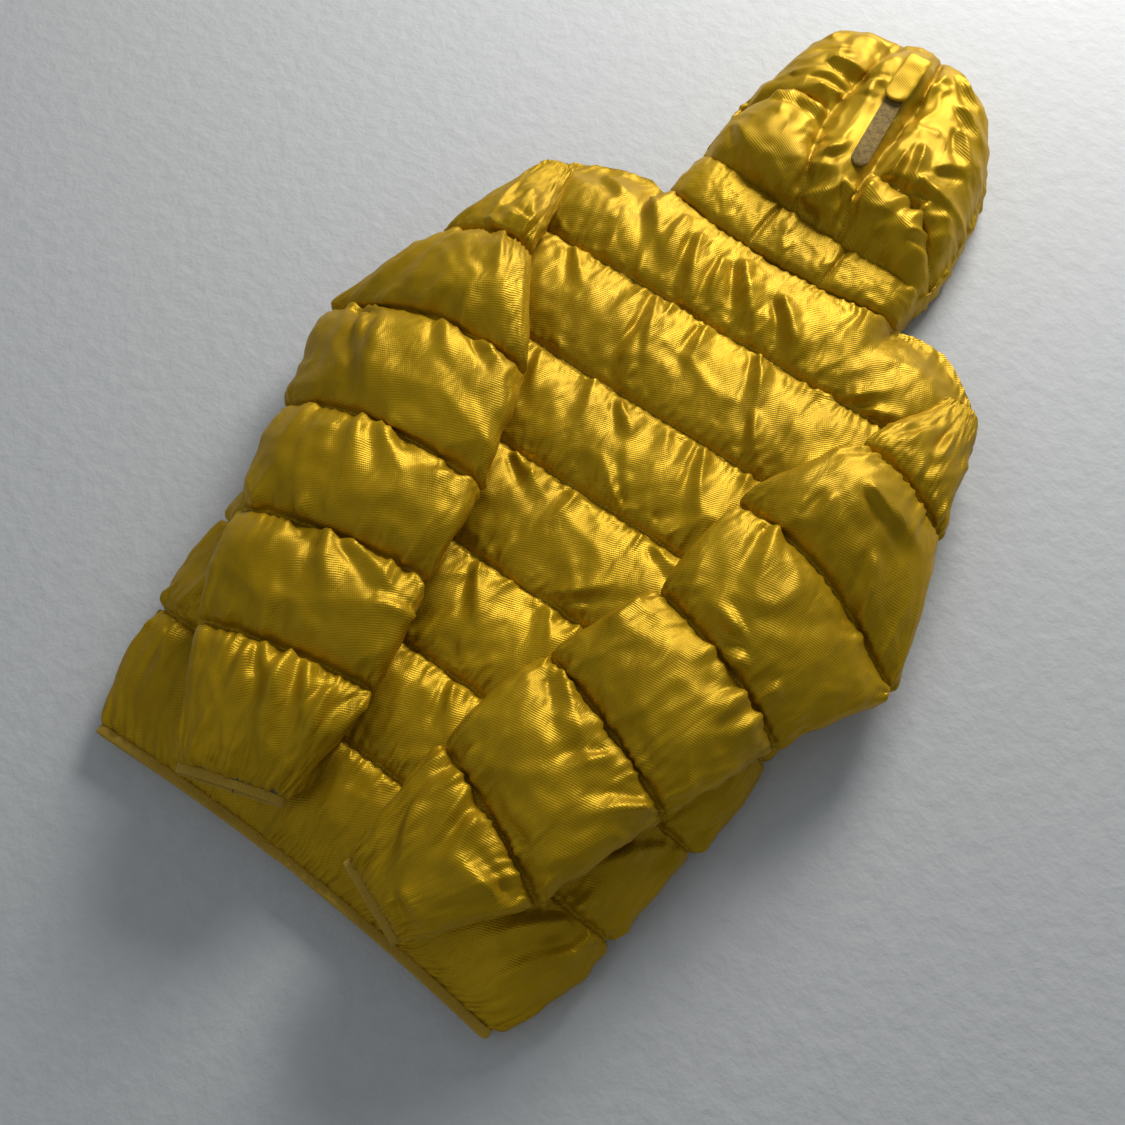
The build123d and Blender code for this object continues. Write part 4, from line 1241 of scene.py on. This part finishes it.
# CAD parts that stay, in better materials
tape = woven_tape("zip_tape_weave", (0.100, 0.062, 0.006), (0.240, 0.150, 0.014))
teeth = cast_metal("moulded_teeth", (0.190, 0.120, 0.012), (0.330, 0.215, 0.022), 0.35, 0.0)
metal = cast_metal("zip_metal", (0.30, 0.29, 0.27), (0.46, 0.45, 0.42), 0.25, 1.0)
for name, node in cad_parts.items():
    if "zip_tapes" in name or name == "hanger_loop":
        finish = tape
    elif "zip_teeth" in name or "zip_stops" in name:
        finish = teeth
    else:
        finish = metal
    if not node.hide_render:
        for number in range(len(node.data.materials)):
            node.data.materials[number] = finish


# ---------------------------------------------------------------- floor, light and camera
AZIMUTH, ELEVATION, DISTANCE = math.radians(36.2), math.radians(66.0), 1.160
AIM = Vector((0.0163, -0.1619, 0.0))
LENS, SENSOR = 41.6, 36.0
FLOOR_HALF = 6.0
BACK = Vector((math.sin(AZIMUTH) * math.cos(ELEVATION), -math.cos(AZIMUTH) * math.cos(ELEVATION),
               math.sin(ELEVATION)))      # from the aim towards the camera
IMAGE_RIGHT = Vector((math.cos(AZIMUTH), math.sin(AZIMUTH), 0))
IMAGE_UP = Vector((-math.sin(AZIMUTH), math.cos(AZIMUTH), 0))


def make_camera():
    lens = bpy.data.cameras.new("camera")
    lens.lens, lens.sensor_width = LENS, SENSOR
    camera = placed("camera", lens)
    camera.location = AIM + BACK * DISTANCE
    camera.rotation_mode = "QUATERNION"
    camera.rotation_quaternion = (-BACK).to_track_quat("-Z", "Y")
    bpy.context.scene.camera = camera


def make_light(name, place, size, power, colour=(1, 1, 1)):
    """A square soft light that faces the jacket."""
    lamp = bpy.data.lights.new(name, "AREA")
    lamp.size, lamp.energy, lamp.color = size, power, colour
    made = placed(name, lamp)
    made.location = place
    made.rotation_mode = "QUATERNION"
    made.rotation_quaternion = (Vector((0, -0.05, 0)) - place).to_track_quat("-Z", "Y")


def make_floor():
    """A plain pale floor with the faint grain of plaster."""
    mesh = bpy.data.meshes.new("floor")
    corners = [(x * FLOOR_HALF, y * FLOOR_HALF, 0) for x, y in ((-1, -1), (1, -1), (1, 1), (-1, 1))]
    mesh.from_pydata(corners, [], [(0, 1, 2, 3)])
    floor = placed("floor", mesh)
    look = Look("pale_floor")
    grain = look.noise(Vector=look.place, Scale=60.0, Detail=6.0, Roughness=0.6)
    mesh.materials.append(look.shaded(Base_Color=look.mixed(grain, (0.56, 0.57, 0.57), (0.66, 0.67, 0.67)),
                                      Normal=look.bumped(grain, 0.0015), Roughness=0.85))


make_camera()
make_floor()
make_light("key", IMAGE_UP * 1.40 + IMAGE_RIGHT * 0.72 + Vector((0, 0, 0.95)), 0.80, 35.0, (1.0, 0.98, 0.95))
make_light("fill", IMAGE_UP * -0.9 + IMAGE_RIGHT * -1.3 + Vector((0, 0, 1.6)), 1.8, 3.0, (0.93, 0.96, 1.0))
world = bpy.data.worlds.new("world")
world.use_nodes = True
world.node_tree.nodes["Background"].inputs["Color"].default_value = (0.86, 0.93, 1.0, 1)
world.node_tree.nodes["Background"].inputs["Strength"].default_value = 0.22
bpy.context.scene.world = world
bpy.context.scene.view_settings.view_transform = "Standard"
